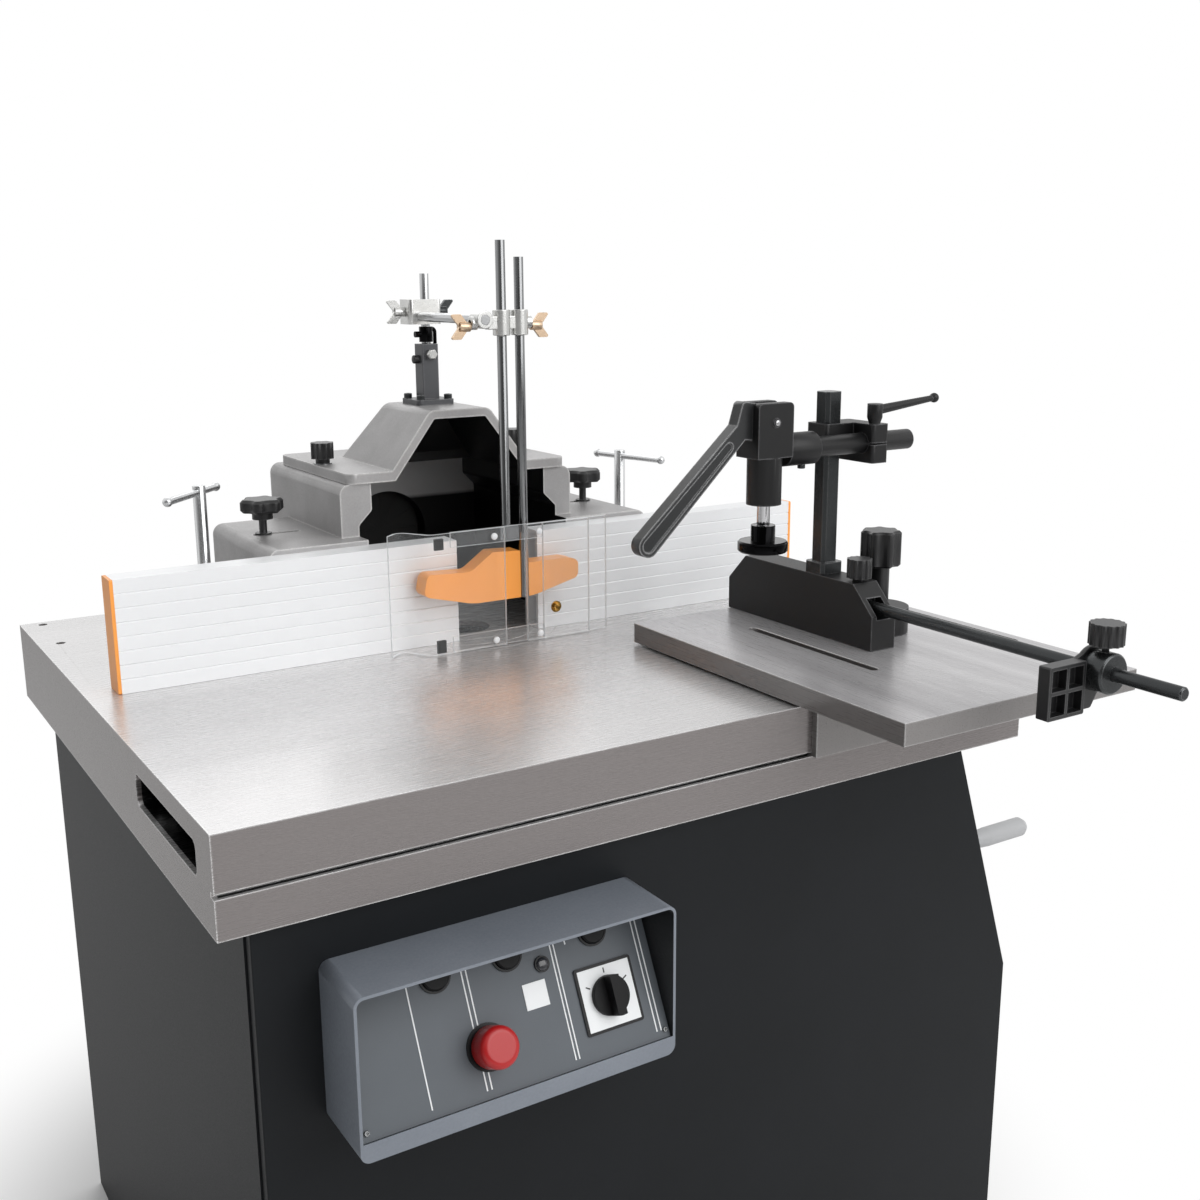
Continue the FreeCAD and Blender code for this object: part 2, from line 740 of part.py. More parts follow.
def lobed(x, y, z0, z1, radius, depth, lobes):
    """Upright prism with round lobes out to radius; arcs dip in by twice the depth between them."""
    def spot(turn, reach):
        angle = 2 * math.pi * turn / lobes
        return vec(x + reach * math.cos(angle), y + reach * math.sin(angle), z0)

    side = radius - depth
    edges = []
    for i in range(lobes):
        start, end, onward = (spot(i + share, side) for share in (-0.25, 0.25, 0.75))
        edges.append(Part.Arc(start, spot(i, radius), end).toShape())
        edges.append(Part.Arc(end, spot(i + 0.5, side - depth), onward).toShape())
    return Part.Face(Part.Wire(edges)).extrude(vec(0, 0, z1 - z0))


def cabinet_outline(inset):
    """Front view of the cabinet, drawn in from its walls by inset."""
    lean = math.atan2(FLARE_OUT, table_foot - FLARE_HEIGHT)
    left = cabinet_left + inset
    right = cabinet_right - inset
    bend = FLARE_HEIGHT - inset * math.tan(lean / 2)
    top = table_foot - inset
    shoulder = right - (top - bend) * math.tan(lean)
    return sharp([(left, inset), (right, inset), (right, bend), (shoulder, top), (left, top)])


def cabinet_shell():
    """Folded cabinet, open in front behind the panel and under the table, with louvres in its back."""
    shell = slab_xz(cabinet_outline(0), panel_back, cabinet_back)
    room = slab_xz(cabinet_outline(SHEET), panel_back + SHEET, cabinet_back - SHEET)
    doorway = slab_xz(cabinet_outline(FRONT_LIP), panel_back, panel_back + SHEET)
    hatch = box(cabinet_left + TOP_FLANGE, cabinet_shoulder - TOP_FLANGE,
                panel_back + TOP_FLANGE, cabinet_back - BACK_FLANGE, table_foot - SHEET, table_foot)
    drain_x = floor_bolt_x - FLOOR_FLANGE
    drain_y = floor_bolt_y - FLOOR_FLANGE
    drain = box(-drain_x, drain_x, -drain_y, drain_y, 0, SHEET)
    shaft_hole = bar_x(handwheel_y, handwheel_z, cabinet_shoulder, cabinet_right, WHEELSHAFT_R + FREE)
    holes = [bar_z(x, y, 0, SHEET, FLOOR_BOLT_R)
             for x in (-floor_bolt_x, floor_bolt_x) for y in (-floor_bolt_y, floor_bolt_y)]
    half = LOUVRE_LENGTH / 2
    rows = [LOUVRE_Z + LOUVRE_PITCH * i for i in range(LOUVRE_COUNT)]
    louvres = [slab_xz(slot_box(-half, half, z, z + LOUVRE_HEIGHT), cabinet_back - SHEET, cabinet_back)
               for z in rows]
    return cut(shell, room, doorway, hatch, drain, shaft_hole, *holes, *louvres)


def front_panel():
    """Folded pan that closes the front of the cabinet."""
    inner = [(u, max(v, PANEL_KICK), r) for u, v, r in cabinet_outline(PANEL_GAP)]
    hollow = [(u, max(v, PANEL_KICK + SHEET), r) for u, v, r in cabinet_outline(PANEL_GAP + SHEET)]
    pan = slab_xz(inner, panel_front, panel_back)
    return cut(pan, slab_xz(hollow, panel_front + SHEET, panel_back))


def on_slope(shape):
    """Lean a shape, drawn on an upright control plate, with the plate about its upper edge."""
    shape.rotate(vec(0, fascia_front, visor_foot), vec(1, 0, 0), -FASCIA_TILT)
    return shape


def housing_block(inset):
    """Outer form of the control housing, its sides drawn in by inset."""
    return slab_xz(rounded_box(housing_left + inset, housing_right - inset, housing_foot + inset,
                               housing_top - inset, HOUSING_CORNER - inset), housing_front, panel_front)


def control_housing():
    """Sheet box whose hollow is deep under the visor and runs out at the foot of the control plate."""
    ahead = on_slope(box(housing_left, housing_right, housing_front - HOUSING_HEIGHT,
                         fascia_front + FASCIA_THICK, visor_foot - FASCIA_LENGTH - FREE,
                         housing_top + HOUSING_HEIGHT))
    return cut(housing_block(0), ahead.common(housing_block(HOUSING_SHEET)))


def control_spot(share, down):
    """Place of a control on the plate, as if upright: its share across and its distance below the visor."""
    span = HOUSING_WIDTH - 2 * CONTROL_MARGIN
    return housing_left + CONTROL_MARGIN + share * span, visor_foot - down


def control_fascia():
    """Sloped plate in the housing, with the button rings, the lamp and the selector's pad on it."""
    back = fascia_front + FASCIA_THICK
    bezel = fascia_front - BUTTON_BEZEL
    plate = on_slope(box(housing_left, housing_right, fascia_front, back, visor_foot - FASCIA_LENGTH,
                         housing_top))
    extras = []
    holes = []
    for share in BUTTON_SHARES:
        x, z = control_spot(share, BUTTON_DOWN)
        extras.append(bar_y(x, z, bezel, fascia_front, BUTTON_R + BUTTON_BEZEL))
        holes.append(bar_y(x, z, bezel, back, BUTTON_R + FREE))
    x, z = control_spot(LAMP_SHARE, LAMP_DOWN)
    extras.append(bar_y(x, z, bezel, fascia_front, LAMP_R))
    x, z = control_spot(SELECTOR_SHARE, SELECTOR_DOWN)
    half = SELECTOR_PAD / 2
    extras.append(slab_xz(rounded_box(x - half, x + half, z - half, z + half, SELECTOR_PAD_CORNER),
                          fascia_front - SELECTOR_PAD_THICK, fascia_front))
    x, z = control_spot(STOP_SHARE, STOP_DOWN)
    extras.append(bar_y(x, z, bezel, fascia_front, STOP_R + BUTTON_BEZEL))
    holes.append(bar_y(x, z, bezel, back, STOP_R / 2 + FREE))
    fitted = plate.common(housing_block(HOUSING_SHEET + FREE))
    return cut(fuse(fitted, *map(on_slope, extras)), *map(on_slope, holes))


def push_button(share):
    x, z = control_spot(share, BUTTON_DOWN)
    front = fascia_front - BUTTON_PROUD
    cap = bar_y(x, z, front, fascia_front + FASCIA_THICK - BUTTON_TRAVEL, BUTTON_R)
    rim = [edge for edge in cap.Edges if abs(edge.BoundBox.YMax - front) < 1e-6]
    return on_slope(cap.makeChamfer(BUTTON_CHAMFER, rim))


def selector_knob():
    """Rotary switch: a disc with a grip bar across it."""
    x, z = control_spot(SELECTOR_SHARE, SELECTOR_DOWN)
    back = fascia_front - SELECTOR_PAD_THICK - SLIDE
    front = back - SELECTOR_REACH
    disc = bar_y(x, z, back - SELECTOR_REACH / 3, back, SELECTOR_R)
    grip = box(x - SELECTOR_R / 4, x + SELECTOR_R / 4, front, back, z - SELECTOR_R, z + SELECTOR_R)
    return on_slope(fuse(disc, grip.common(bar_y(x, z, front, back, SELECTOR_R))))


def emergency_stop():
    """Mushroom head on a plunger."""
    x, z = control_spot(STOP_SHARE, STOP_DOWN)
    bezel = fascia_front - BUTTON_BEZEL
    front = bezel - STOP_REACH
    under = bezel - BUTTON_TRAVEL - SLIDE
    head = bar_y(x, z, front, under, STOP_R)
    rim = [edge for edge in head.Edges if abs(edge.BoundBox.YMax - front) < 1e-6]
    stem = bar_y(x, z, under, fascia_front + FASCIA_THICK - BUTTON_TRAVEL, STOP_R / 2)
    return on_slope(fuse(head.makeFillet(STOP_R / 3, rim), stem))


def feeder_holes():
    left = table_left + FEEDER_EDGE
    back = table_back - FEEDER_BACK
    return [bar_z(left + i * FEEDER_SPACING_X, back - k * FEEDER_SPACING_Y, plate_under, TABLE_TOP,
                  FEEDER_HOLE_R) for i in range(2) for k in range(2)]


def table_casting():
    """Ribbed table with its skirt, ring seat, front groove and the slot of the lock lever."""
    body = box(table_left, table_right, table_front, table_back, table_foot, TABLE_TOP)
    inner_left = table_left + TABLE_WALL
    inner_right = table_right - TABLE_WALL
    inner_front = table_front + TABLE_WALL
    inner_back = table_back - TABLE_WALL
    body = cut(body, box(inner_left, inner_right, inner_front, inner_back, table_foot, plate_under))
    rib_foot = plate_under - RIB_HEIGHT
    half = TABLE_RIB / 2
    additions = [bar_z(0, 0, guide_top, plate_under, OPENING_R + OPENING_BOSS)]
    for side in (-1, 1):
        x = side * RIB_SPAN / 2
        additions.append(box(x - half, x + half, inner_front, inner_back, rib_foot, plate_under))
        additions.append(bar_z(side * bolt_x, BOLT_BACK, TABLE_TOP - BOLT_GRIP - TABLE_RIB, plate_under,
                               BOLT_BOSS_R))
    for y in (inner_front, inner_back - TABLE_FOOT):
        for x in (cabinet_left, cabinet_shoulder - TABLE_FOOT):
            additions.append(box(x, x + TABLE_FOOT, y, y + TABLE_FOOT, table_foot, plate_under))
    additions.append(bar_z(lever_x, lever_y, lever_z - LEVER_THICK, plate_under, LEVER_PIN_R))
    ledge = TABLE_TOP - RING_THICK / 2
    slot_half = LEVER_SLOT_LENGTH / 2
    slot_rise = LEVER_SLOT_HEIGHT / 2
    slot = slab_yz(rounded_box(lever_y - slot_half, lever_y + slot_half, lever_z - slot_rise,
                               lever_z + slot_rise, slot_rise / 2), table_left, inner_left)
    groove_z = TABLE_TOP - GROOVE_DROP
    cuts = [bar_z(0, 0, guide_top, TABLE_TOP, OPENING_R - RING_LEDGE),
            bar_z(0, 0, ledge, TABLE_TOP, OPENING_R),
            box(table_left, table_right, table_front, table_front + GROOVE_DEPTH,
                groove_z - GROOVE_HEIGHT / 2, groove_z + GROOVE_HEIGHT / 2), slot]
    for side in (-1, 1):
        cuts.append(bar_z(side * bolt_x, BOLT_BACK, TABLE_TOP - BOLT_GRIP, TABLE_TOP, BOLT_R + RUN))
    return cut(fuse(body, *additions), *cuts, *feeder_holes())


def table_rings():
    """Nested rings that close the opening round the spindle; each sits on the ledge of the next one out."""
    middle = TABLE_TOP - RING_THICK / 2
    foot = TABLE_TOP - RING_THICK
    rings = []
    outer = OPENING_R
    for bore in RING_BORES:
        rim = outer - FREE
        profile = [(rim, TABLE_TOP), (rim, middle), (rim - RING_LEDGE, middle), (rim - RING_LEDGE, foot),
                   (bore, foot)]
        outer = bore
        if bore != RING_BORES[-1]:
            outer = bore + RING_LEDGE
            profile += [(bore, middle), (outer, middle)]
        rings.append(turned(profile + [(outer, TABLE_TOP)], 0, 0))
    return group(*rings)


def lock_lever():
    """Swing lever on the pin under the table, with a ball knob that shows in the side slot."""
    reach = LEVER_INSET - BALL_R / 2
    half = LEVER_WIDTH / 2
    z0 = lever_z - LEVER_THICK / 2
    z1 = lever_z + LEVER_THICK / 2
    hub = bar_z(lever_x, lever_y, z0, z1, LEVER_HUB_R)
    arm = box(lever_x - reach, lever_x + LEVER_TAIL, lever_y - half, lever_y + half, z0, z1)
    lever = cut(fuse(hub, arm), bar_z(lever_x, lever_y, z0, z1, LEVER_PIN_R + RUN))
    ball = Part.makeSphere(BALL_R, vec(lever_x - reach - BALL_R / 2, lever_y, lever_z))
    lever = cut(lever, ball)
    flat = box(lever_x - reach, lever_x, lever_y - BALL_R, lever_y + BALL_R,
               lever_z - BALL_R, lever_z + BALL_R)
    both = group(lever, cut(ball, flat))
    both.rotate(vec(lever_x, lever_y, 0), vec(0, 0, 1), -LEVER_REST)
    return both


def guide_tube():
    """Flanged tube under the table; its boss holds the pinion shaft beside the quill."""
    outer = QUILL_R + GUIDE_WALL
    tube = bar_z(0, 0, guide_foot, guide_top, outer)
    flange = bar_z(0, 0, guide_top - GUIDE_FLANGE, guide_top, GUIDE_FLANGE_R)
    tip = pinion_pitch_r + MODULE
    side = pinion_x + PINION_SHAFT_R + GUIDE_WALL
    reach = tip + GUIDE_WALL
    boss = slab_xz(rounded_box(0, side, pinion_z - reach, pinion_z + reach, GUIDE_WALL / 2),
                   -PINION_FACE / 2 - GUIDE_WALL, PINION_FACE / 2 + GUIDE_WALL)
    bore = bar_z(0, 0, guide_foot, guide_top, QUILL_R + RUN)
    window = bar_y(pinion_x, pinion_z, -PINION_FACE / 2 - FREE, PINION_FACE / 2 + FREE, tip + 2 * FREE)
    shaft = bar_y(pinion_x, pinion_z, -outer, outer, PINION_SHAFT_R + RUN)
    return cut(fuse(tube, flange, boss), bore, window, shaft)


def rack_gaps():
    """Tooth spaces of the rack, as prisms to cut from the side of the quill."""
    pitch = math.pi * MODULE
    slope = math.tan(math.radians(PRESSURE_ANGLE))
    pitch_line = rack_tip - MODULE
    root = pitch_line - DEDENDUM * MODULE
    crest = QUILL_R + FREE
    wide = pitch / 4 + BACKLASH / 2 + (crest - pitch_line) * slope
    narrow = pitch / 4 + BACKLASH / 2 - DEDENDUM * MODULE * slope
    below = math.ceil((SPINDLE_STROKE + MODULE) / pitch) + 1
    above = 2
    half = PINION_FACE / 2 + FREE
    gaps = []
    for i in range(-below, above + 1):
        z = pinion_z + i * pitch
        space = [(root, z - narrow), (crest, z - wide), (crest, z + wide), (root, z + narrow)]
        gaps.append(slab_xz(sharp(space), -half, half))
    low = pinion_z - (below + 0.5) * pitch
    high = pinion_z + (above + 0.5) * pitch
    return gaps + [box(rack_tip, crest, -half, half, low, high)]


def quill():
    """Sliding sleeve with the rack cut in its side, and the two bearings that carry the spindle."""
    sleeve = bar_z(0, 0, quill_foot, quill_top, QUILL_R)
    seat = BEARING_LIP + BEARING_WIDTH
    bores = [bar_z(0, 0, quill_foot, quill_top, QUILL_BORE),
             bar_z(0, 0, quill_foot, quill_foot + seat, BEARING_R + RUN),
             bar_z(0, 0, quill_top - seat, quill_top, BEARING_R + RUN)]
    return group(cut(sleeve, *bores, *rack_gaps()), *spindle_bearings())


def spindle_bearings():
    low = quill_foot + BEARING_LIP
    high = quill_top - BEARING_LIP - BEARING_WIDTH
    return [ring(0, 0, z, z + BEARING_WIDTH, BEARING_R, JOURNAL_R + RUN) for z in (low, high)]


def spindle_bar():
    """Arbor above, journals in the bearings, pulley seat below."""
    journal_foot = quill_foot + BEARING_LIP / 2
    return turned([(0, pulley_foot), (PULLEY_SEAT_R, pulley_foot), (PULLEY_SEAT_R, journal_foot),
                   (JOURNAL_R, journal_foot), (JOURNAL_R, arbor_seat), (ARBOR_R, arbor_seat),
                   (ARBOR_R, arbor_top - ARBOR_CHAMFER), (ARBOR_R - ARBOR_CHAMFER, arbor_top),
                   (0, arbor_top)], 0, 0)


def arbor_collars():
    """Spacer rings stacked on the arbor."""
    z = arbor_seat
    rings = []
    for height in COLLAR_HEIGHTS:
        rings.append(ring(0, 0, z, z + height, COLLAR_R, ARBOR_R + RUN))
        z += height
    return rings


def arbor_nut():
    foot = arbor_seat + sum(COLLAR_HEIGHTS)
    top = foot + ARBOR_NUT_HEIGHT
    turns = [math.radians(60 * i) for i in range(6)]
    corners = sharp([(ARBOR_NUT_R * math.cos(turn), ARBOR_NUT_R * math.sin(turn)) for turn in turns])
    return cut(slab_xy(corners, foot, top), bar_z(0, 0, foot, top, ARBOR_R + RUN))


def pulley(x, y, radius, bore):
    """Flat-belt pulley with a lip at both ends."""
    lip = BELT_THICK
    rim = radius + lip / 2
    return turned([(bore, pulley_foot), (rim, pulley_foot), (rim, pulley_foot + lip),
                   (radius, pulley_foot + lip), (radius, pulley_top - lip), (rim, pulley_top - lip),
                   (rim, pulley_top), (bore, pulley_top)], x, y)


def spindle():
    """Everything that spins with the arbor."""
    return group(spindle_bar(), pulley(0, 0, PULLEY_R, PULLEY_SEAT_R + RUN), *arbor_collars(), arbor_nut())


def drive_belt():
    """Flat belt round both pulleys."""
    z0 = pulley_foot + BELT_THICK + FREE
    z1 = pulley_top - BELT_THICK - FREE

    def loop(extra):
        face = strap((0, 0), PULLEY_R + extra, (0, MOTOR_OFFSET), MOTOR_PULLEY_R + extra,
                     lambda u, v: vec(u, v, z0))
        return face.extrude(vec(0, 0, z1 - z0))

    return cut(loop(FREE + BELT_THICK), loop(FREE))


def motor_frame():
    """Finned motor with its fan cowl, terminal box and a bore for the shaft."""
    count = 2 * MOTOR_FINS
    corners = []
    for i in range(count):
        radius = MOTOR_R if i % 2 else MOTOR_R - FIN_DEPTH
        for step in (-FIN_SHARE / 2, FIN_SHARE / 2):
            angle = 2 * math.pi * (i + step) / count
            corners.append((radius * math.cos(angle), MOTOR_OFFSET + radius * math.sin(angle), 0))
    shield = MOTOR_LENGTH / 8
    body = slab_xy(corners, motor_foot + shield, motor_top - 2 * shield)
    root = MOTOR_R - FIN_DEPTH
    foot_bell = turned([(0, motor_foot), (root, motor_foot), (MOTOR_R, motor_foot + shield / 2),
                        (MOTOR_R, motor_foot + shield), (0, motor_foot + shield)], 0, MOTOR_OFFSET)
    cowl_z = motor_top - 2 * shield
    cowl = turned([(0, cowl_z), (MOTOR_R, cowl_z), (MOTOR_R, motor_top - shield / 2),
                   (root, motor_top), (0, motor_top)], 0, MOTOR_OFFSET)
    z = motor_foot + shield
    half = MOTOR_BOX / 2
    terminal = box(root - MOTOR_BOX_SINK, MOTOR_R + MOTOR_BOX_DEPTH, MOTOR_OFFSET - half, MOTOR_OFFSET + half,
                   z, z + MOTOR_BOX)
    bore = bar_z(0, MOTOR_OFFSET, motor_foot, motor_top - shield, MOTOR_SHAFT_R + RUN)
    return cut(fuse(body, foot_bell, cowl, terminal), bore)


def motor_bracket():
    """Plate clamped on the foot of the quill that carries the motor."""
    grip_r = QUILL_R + BRACKET_COLLAR
    plate = fuse(bar_z(0, 0, bracket_foot, bracket_top, grip_r),
                 bar_z(0, MOTOR_OFFSET, bracket_foot, bracket_top, MOTOR_R),
                 box(-QUILL_R, QUILL_R, 0, MOTOR_OFFSET, bracket_foot, bracket_top))
    split = box(-FREE, FREE, -grip_r, 0, bracket_foot, bracket_top)
    return cut(plate, bar_z(0, 0, bracket_foot, bracket_top, QUILL_R + RUN), split,
               bar_z(0, MOTOR_OFFSET, bracket_foot, bracket_top, MOTOR_SHAFT_R + FREE))


def motor():
    return group(motor_frame(), motor_bracket())


def motor_rotor():
    """Motor shaft, and the pulley on its lower end."""
    shaft = bar_z(0, MOTOR_OFFSET, pulley_foot, motor_top - MOTOR_LENGTH / 4, MOTOR_SHAFT_R)
    return group(shaft, pulley(0, MOTOR_OFFSET, MOTOR_PULLEY_R, MOTOR_SHAFT_R + RUN))


def pinion_blank():
    """Involute pinion with one tooth pointing at the rack."""
    pressure = math.radians(PRESSURE_ANGLE)
    base = pinion_pitch_r * math.cos(pressure)
    tip = pinion_pitch_r + MODULE
    root = pinion_pitch_r - DEDENDUM * MODULE
    half = (math.pi * MODULE / 2 - BACKLASH) / (2 * pinion_pitch_r)
    half_base = half + math.tan(pressure) - pressure
    flank = []
    for i in range(FLANK_POINTS):
        radius = base + (tip - base) * i / (FLANK_POINTS - 1)
        roll = math.sqrt((radius / base) ** 2 - 1)
        flank.append((radius, half_base - (roll - math.atan(roll))))
    corners = []
    for tooth in range(PINION_TEETH):
        middle = math.pi + 2 * math.pi * tooth / PINION_TEETH
        shape = [(root, -half_base)] + [(r, -a) for r, a in flank]
        shape += [(r, a) for r, a in reversed(flank)] + [(root, half_base)]
        corners += [(pinion_x + r * math.cos(middle + a), pinion_z + r * math.sin(middle + a), 0)
                    for r, a in shape]
    return slab_xz(corners, -PINION_FACE / 2, PINION_FACE / 2)


def pinion_shaft():
    """Cross shaft with the pinion at the quill and the worm wheel under the front of the table."""
    boss_end = PINION_FACE / 2 + GUIDE_WALL
    wheel_front = handwheel_y - WHEEL_WIDTH / 2
    shaft = bar_y(pinion_x, pinion_z, wheel_front - LIFT_WALL - SLIDE, boss_end, PINION_SHAFT_R)
    wheel = bar_y(pinion_x, pinion_z, wheel_front, wheel_front + WHEEL_WIDTH, WHEEL_R)
    wheel = wheel.makeChamfer(WHEEL_WIDTH / 8, [e for e in wheel.Edges if e.BoundBox.YLength < 1e-6])
    return fuse(shaft, pinion_blank(), wheel)


def lift_bracket():
    """Bracket hung under the table that carries the worm and the front end of the pinion shaft."""
    half = WHEEL_WIDTH / 2 + SLIDE
    reach = WORM_LENGTH / 2 + SLIDE
    foot = handwheel_z - WHEELSHAFT_R - LIFT_WALL
    top = plate_under
    y0 = handwheel_y - half - LIFT_WALL
    y1 = handwheel_y + half + LIFT_WALL
    x0 = pinion_x - WHEEL_R - LIFT_WALL - FREE
    x1 = pinion_x + WHEEL_R + LIFT_WALL + FREE
    bend = LIFT_WALL / 2
    block = slab_yz([(y0, foot, bend), (y1, foot, bend), (y1, top, 0), (y0, top, 0)], x0, x1)
    room = box(x0 + LIFT_WALL, x1 - LIFT_WALL, y0 + LIFT_WALL, y1 - LIFT_WALL,
               handwheel_z - WORM_R - FREE, top - LIFT_WALL)
    worm_shaft = bar_x(handwheel_y, handwheel_z, x0, x1, WHEELSHAFT_R + RUN)
    cross_shaft = bar_y(pinion_x, pinion_z, y0, y1, PINION_SHAFT_R + RUN)
    thread = WORM_R + FREE
    thread_room = box(pinion_x - reach, pinion_x + reach, handwheel_y - thread, handwheel_y + thread,
                      handwheel_z - thread, handwheel_z + WORM_R)
    return cut(block, room, worm_shaft, cross_shaft, thread_room)


def spindle_guide():
    return group(guide_tube(), lift_bracket())


def handwheel_shaft():
    """Shaft from the handwheel to the worm under the wheel of the pinion shaft."""
    inner = pinion_x - WHEEL_R - LIFT_WALL - FREE
    half = WORM_LENGTH / 2
    shaft = bar_x(handwheel_y, handwheel_z, inner, handwheel_x, WHEELSHAFT_R)
    worm = bar_x(handwheel_y, handwheel_z, pinion_x - half, pinion_x + half, WORM_R)
    return fuse(shaft, worm)


def wheel_casting():
    """Three-spoke wheel: round rim, spokes, a bored hub and the pin of the grip."""
    rim = Part.makeTorus(RIM_R, RIM_SECTION, vec(handwheel_x, handwheel_y, handwheel_z), vec(1, 0, 0))
    hub_in = handwheel_x - HUB_LENGTH / 2
    hub_out = hub_in + HUB_LENGTH
    hub = turned_x([(0, hub_in), (HUB_R, hub_in), (HUB_R, hub_out - HUB_CHAMFER),
                    (HUB_R - HUB_CHAMFER, hub_out), (0, hub_out)], handwheel_y, handwheel_z)
    grip_y = handwheel_y - RIM_R
    half = SPOKE_THICK / 2
    side = sharp([(handwheel_y, handwheel_z - SPOKE_ROOT / 2), (handwheel_y, handwheel_z + SPOKE_ROOT / 2),
                  (grip_y, handwheel_z + SPOKE_TIP / 2), (grip_y, handwheel_z - SPOKE_TIP / 2)])
    spokes = []
    for i in range(SPOKES):
        spoke = slab_yz(side, handwheel_x - half, handwheel_x + half)
        spoke.rotate(vec(0, handwheel_y, handwheel_z), vec(1, 0, 0), 360 * i / SPOKES)
        spokes.append(spoke)
    boss = bar_x(grip_y, handwheel_z, handwheel_x - RIM_SECTION, handwheel_x + RIM_SECTION, GRIP_R)
    pin_end = handwheel_x + RIM_SECTION + SLIDE + GRIP_LENGTH - GRIP_R
    pin = bar_x(grip_y, handwheel_z, handwheel_x, pin_end, GRIP_PIN_R)
    bore = bar_x(handwheel_y, handwheel_z, hub_in, handwheel_x, WHEELSHAFT_R + RUN)
    return cut(fuse(rim, hub, boss, pin, *spokes), bore)


def handwheel():
    return group(wheel_casting(), handwheel_shaft())


def handwheel_grip():
    """Barrel-shaped grip that turns on its pin."""
    inner = handwheel_x + RIM_SECTION + SLIDE
    outer = inner + GRIP_LENGTH
    grip_y = handwheel_y - RIM_R
    body = turned_x([(0, inner), (GRIP_NECK_R, inner), (GRIP_R, inner + GRIP_LENGTH / 3),
                     (GRIP_R, outer - GRIP_R / 2), (GRIP_END_R, outer), (0, outer)], grip_y, handwheel_z)
    return cut(body, bar_x(grip_y, handwheel_z, inner, outer - GRIP_R + FREE, GRIP_PIN_R + RUN))


def hood_base():
    """Casting behind the fence: hollow wings, cheeks round the cutter space, feet and the dust port."""
    half_wing = WING_SPAN / 2
    half_cheek = CHEEK_SPAN / 2
    wing_back = wing_front + WING_DEPTH
    floor = TABLE_TOP + SLIDE
    wings = slab_xz([(-half_wing, floor, 0), (half_wing, floor, 0), (half_wing, wing_top, CHEEK_ROUND),
                     (-half_wing, wing_top, CHEEK_ROUND)], wing_front, wing_back)
    cheeks = slab_xz([(-half_cheek, floor, 0), (half_cheek, floor, 0), (half_cheek, lid_foot, CHEEK_ROUND),
                      (-half_cheek, lid_foot, CHEEK_ROUND)], cheek_front, cheek_back)
    foot_end = bolt_x + FOOT_OUT
    feet = slab_xy(rounded_box(-foot_end, foot_end, BOLT_BACK - FOOT_DEPTH / 2,
                               BOLT_BACK + FOOT_DEPTH / 2, CHEEK_ROUND), floor, TABLE_TOP + FOOT_THICK)
    spout = bar_y(0, TABLE_TOP + PORT_HEIGHT, cheek_back - CHAMBER_BACK, cheek_back + PORT_LENGTH,
                  PORT_R + PORT_WALL)
    body = fuse(wings, cheeks, feet, spout)
    step = TABLE_TOP + CHAMBER_STEP
    lower, upper = CHAMBER_LOWER / 2, CHAMBER_UPPER / 2
    rise = lower - upper
    bend = rise / 3
    chamber = slab_xz([(-lower, floor, 0), (lower, floor, 0), (lower, step, bend), (upper, step + rise, bend),
                       (upper, lid_foot, 0), (-upper, lid_foot, 0), (-upper, step + rise, bend),
                       (-lower, step, bend)], wing_front, cheek_back - CHAMBER_BACK)
    port = bar_y(0, TABLE_TOP + PORT_HEIGHT, cheek_back - CHAMBER_BACK, cheek_back + PORT_LENGTH, PORT_R)
    tools = [chamber, port]
    cavity_in = max(lower, half_cheek - CHEEK_ROUND) + WING_WALL
    cavity_out = half_wing - WING_WALL
    front = wing_front + WING_WALL
    ceiling = wing_top - WING_WALL
    carrier_foot = TABLE_TOP + CARRIER_HEIGHT
    slot_half = STAR_STUD_R + FREE
    room = BOLT_R + FREE
    for side in (-1, 1):
        inner, outer = sorted((side * cavity_in, side * cavity_out))
        tools.append(box(inner, outer, front, wing_back - WING_WALL, floor, ceiling))
        tools.append(box(inner, outer, wing_front, front, carrier_foot - FREE,
                         carrier_foot + CARRIER_THICK + FREE))
        stud = side * STAR_SPAN / 2
        ends = sorted((stud - side * PLATE_INWARD, stud + side * PLATE_OUTWARD))
        tools.append(slab_xy(slot_box(ends[0] - slot_half, ends[1] + slot_half, STAR_BACK - slot_half,
                                      STAR_BACK + slot_half), ceiling, wing_top))
        bolt = side * bolt_x
        tools.append(slab_xy(slot_box(bolt - room, bolt + room, BOLT_BACK - HOOD_BACKWARD - room,
                                      BOLT_BACK + HOOD_FORWARD + room), floor, TABLE_TOP + FOOT_THICK))
        tools.append(bar_z(side * LID_KNOB_SPAN / 2, lid_front + LID_KNOB_BACK, lid_foot - LID_STUD_DEPTH,
                           lid_foot, LID_STUD_R + RUN))
    return cut(body, *tools)


def hat_outline(inset, foot):
    """Front view of the hat, drawn in from its outside by inset, from the height foot up."""
    lean = math.atan2((HAT_FOOT - HAT_TOP) / 2, HAT_HEIGHT)
    half_top = HAT_TOP / 2 - inset * (1 / math.cos(lean) - math.tan(lean))
    top = hat_top - inset
    half_foot = half_top + (top - foot) * math.tan(lean)
    rounding = max(HAT_ROUND - inset, HAT_INNER_ROUND)
    return [(-half_foot, foot, 0), (half_foot, foot, 0), (half_top, top, rounding),
            (-half_top, top, rounding)]


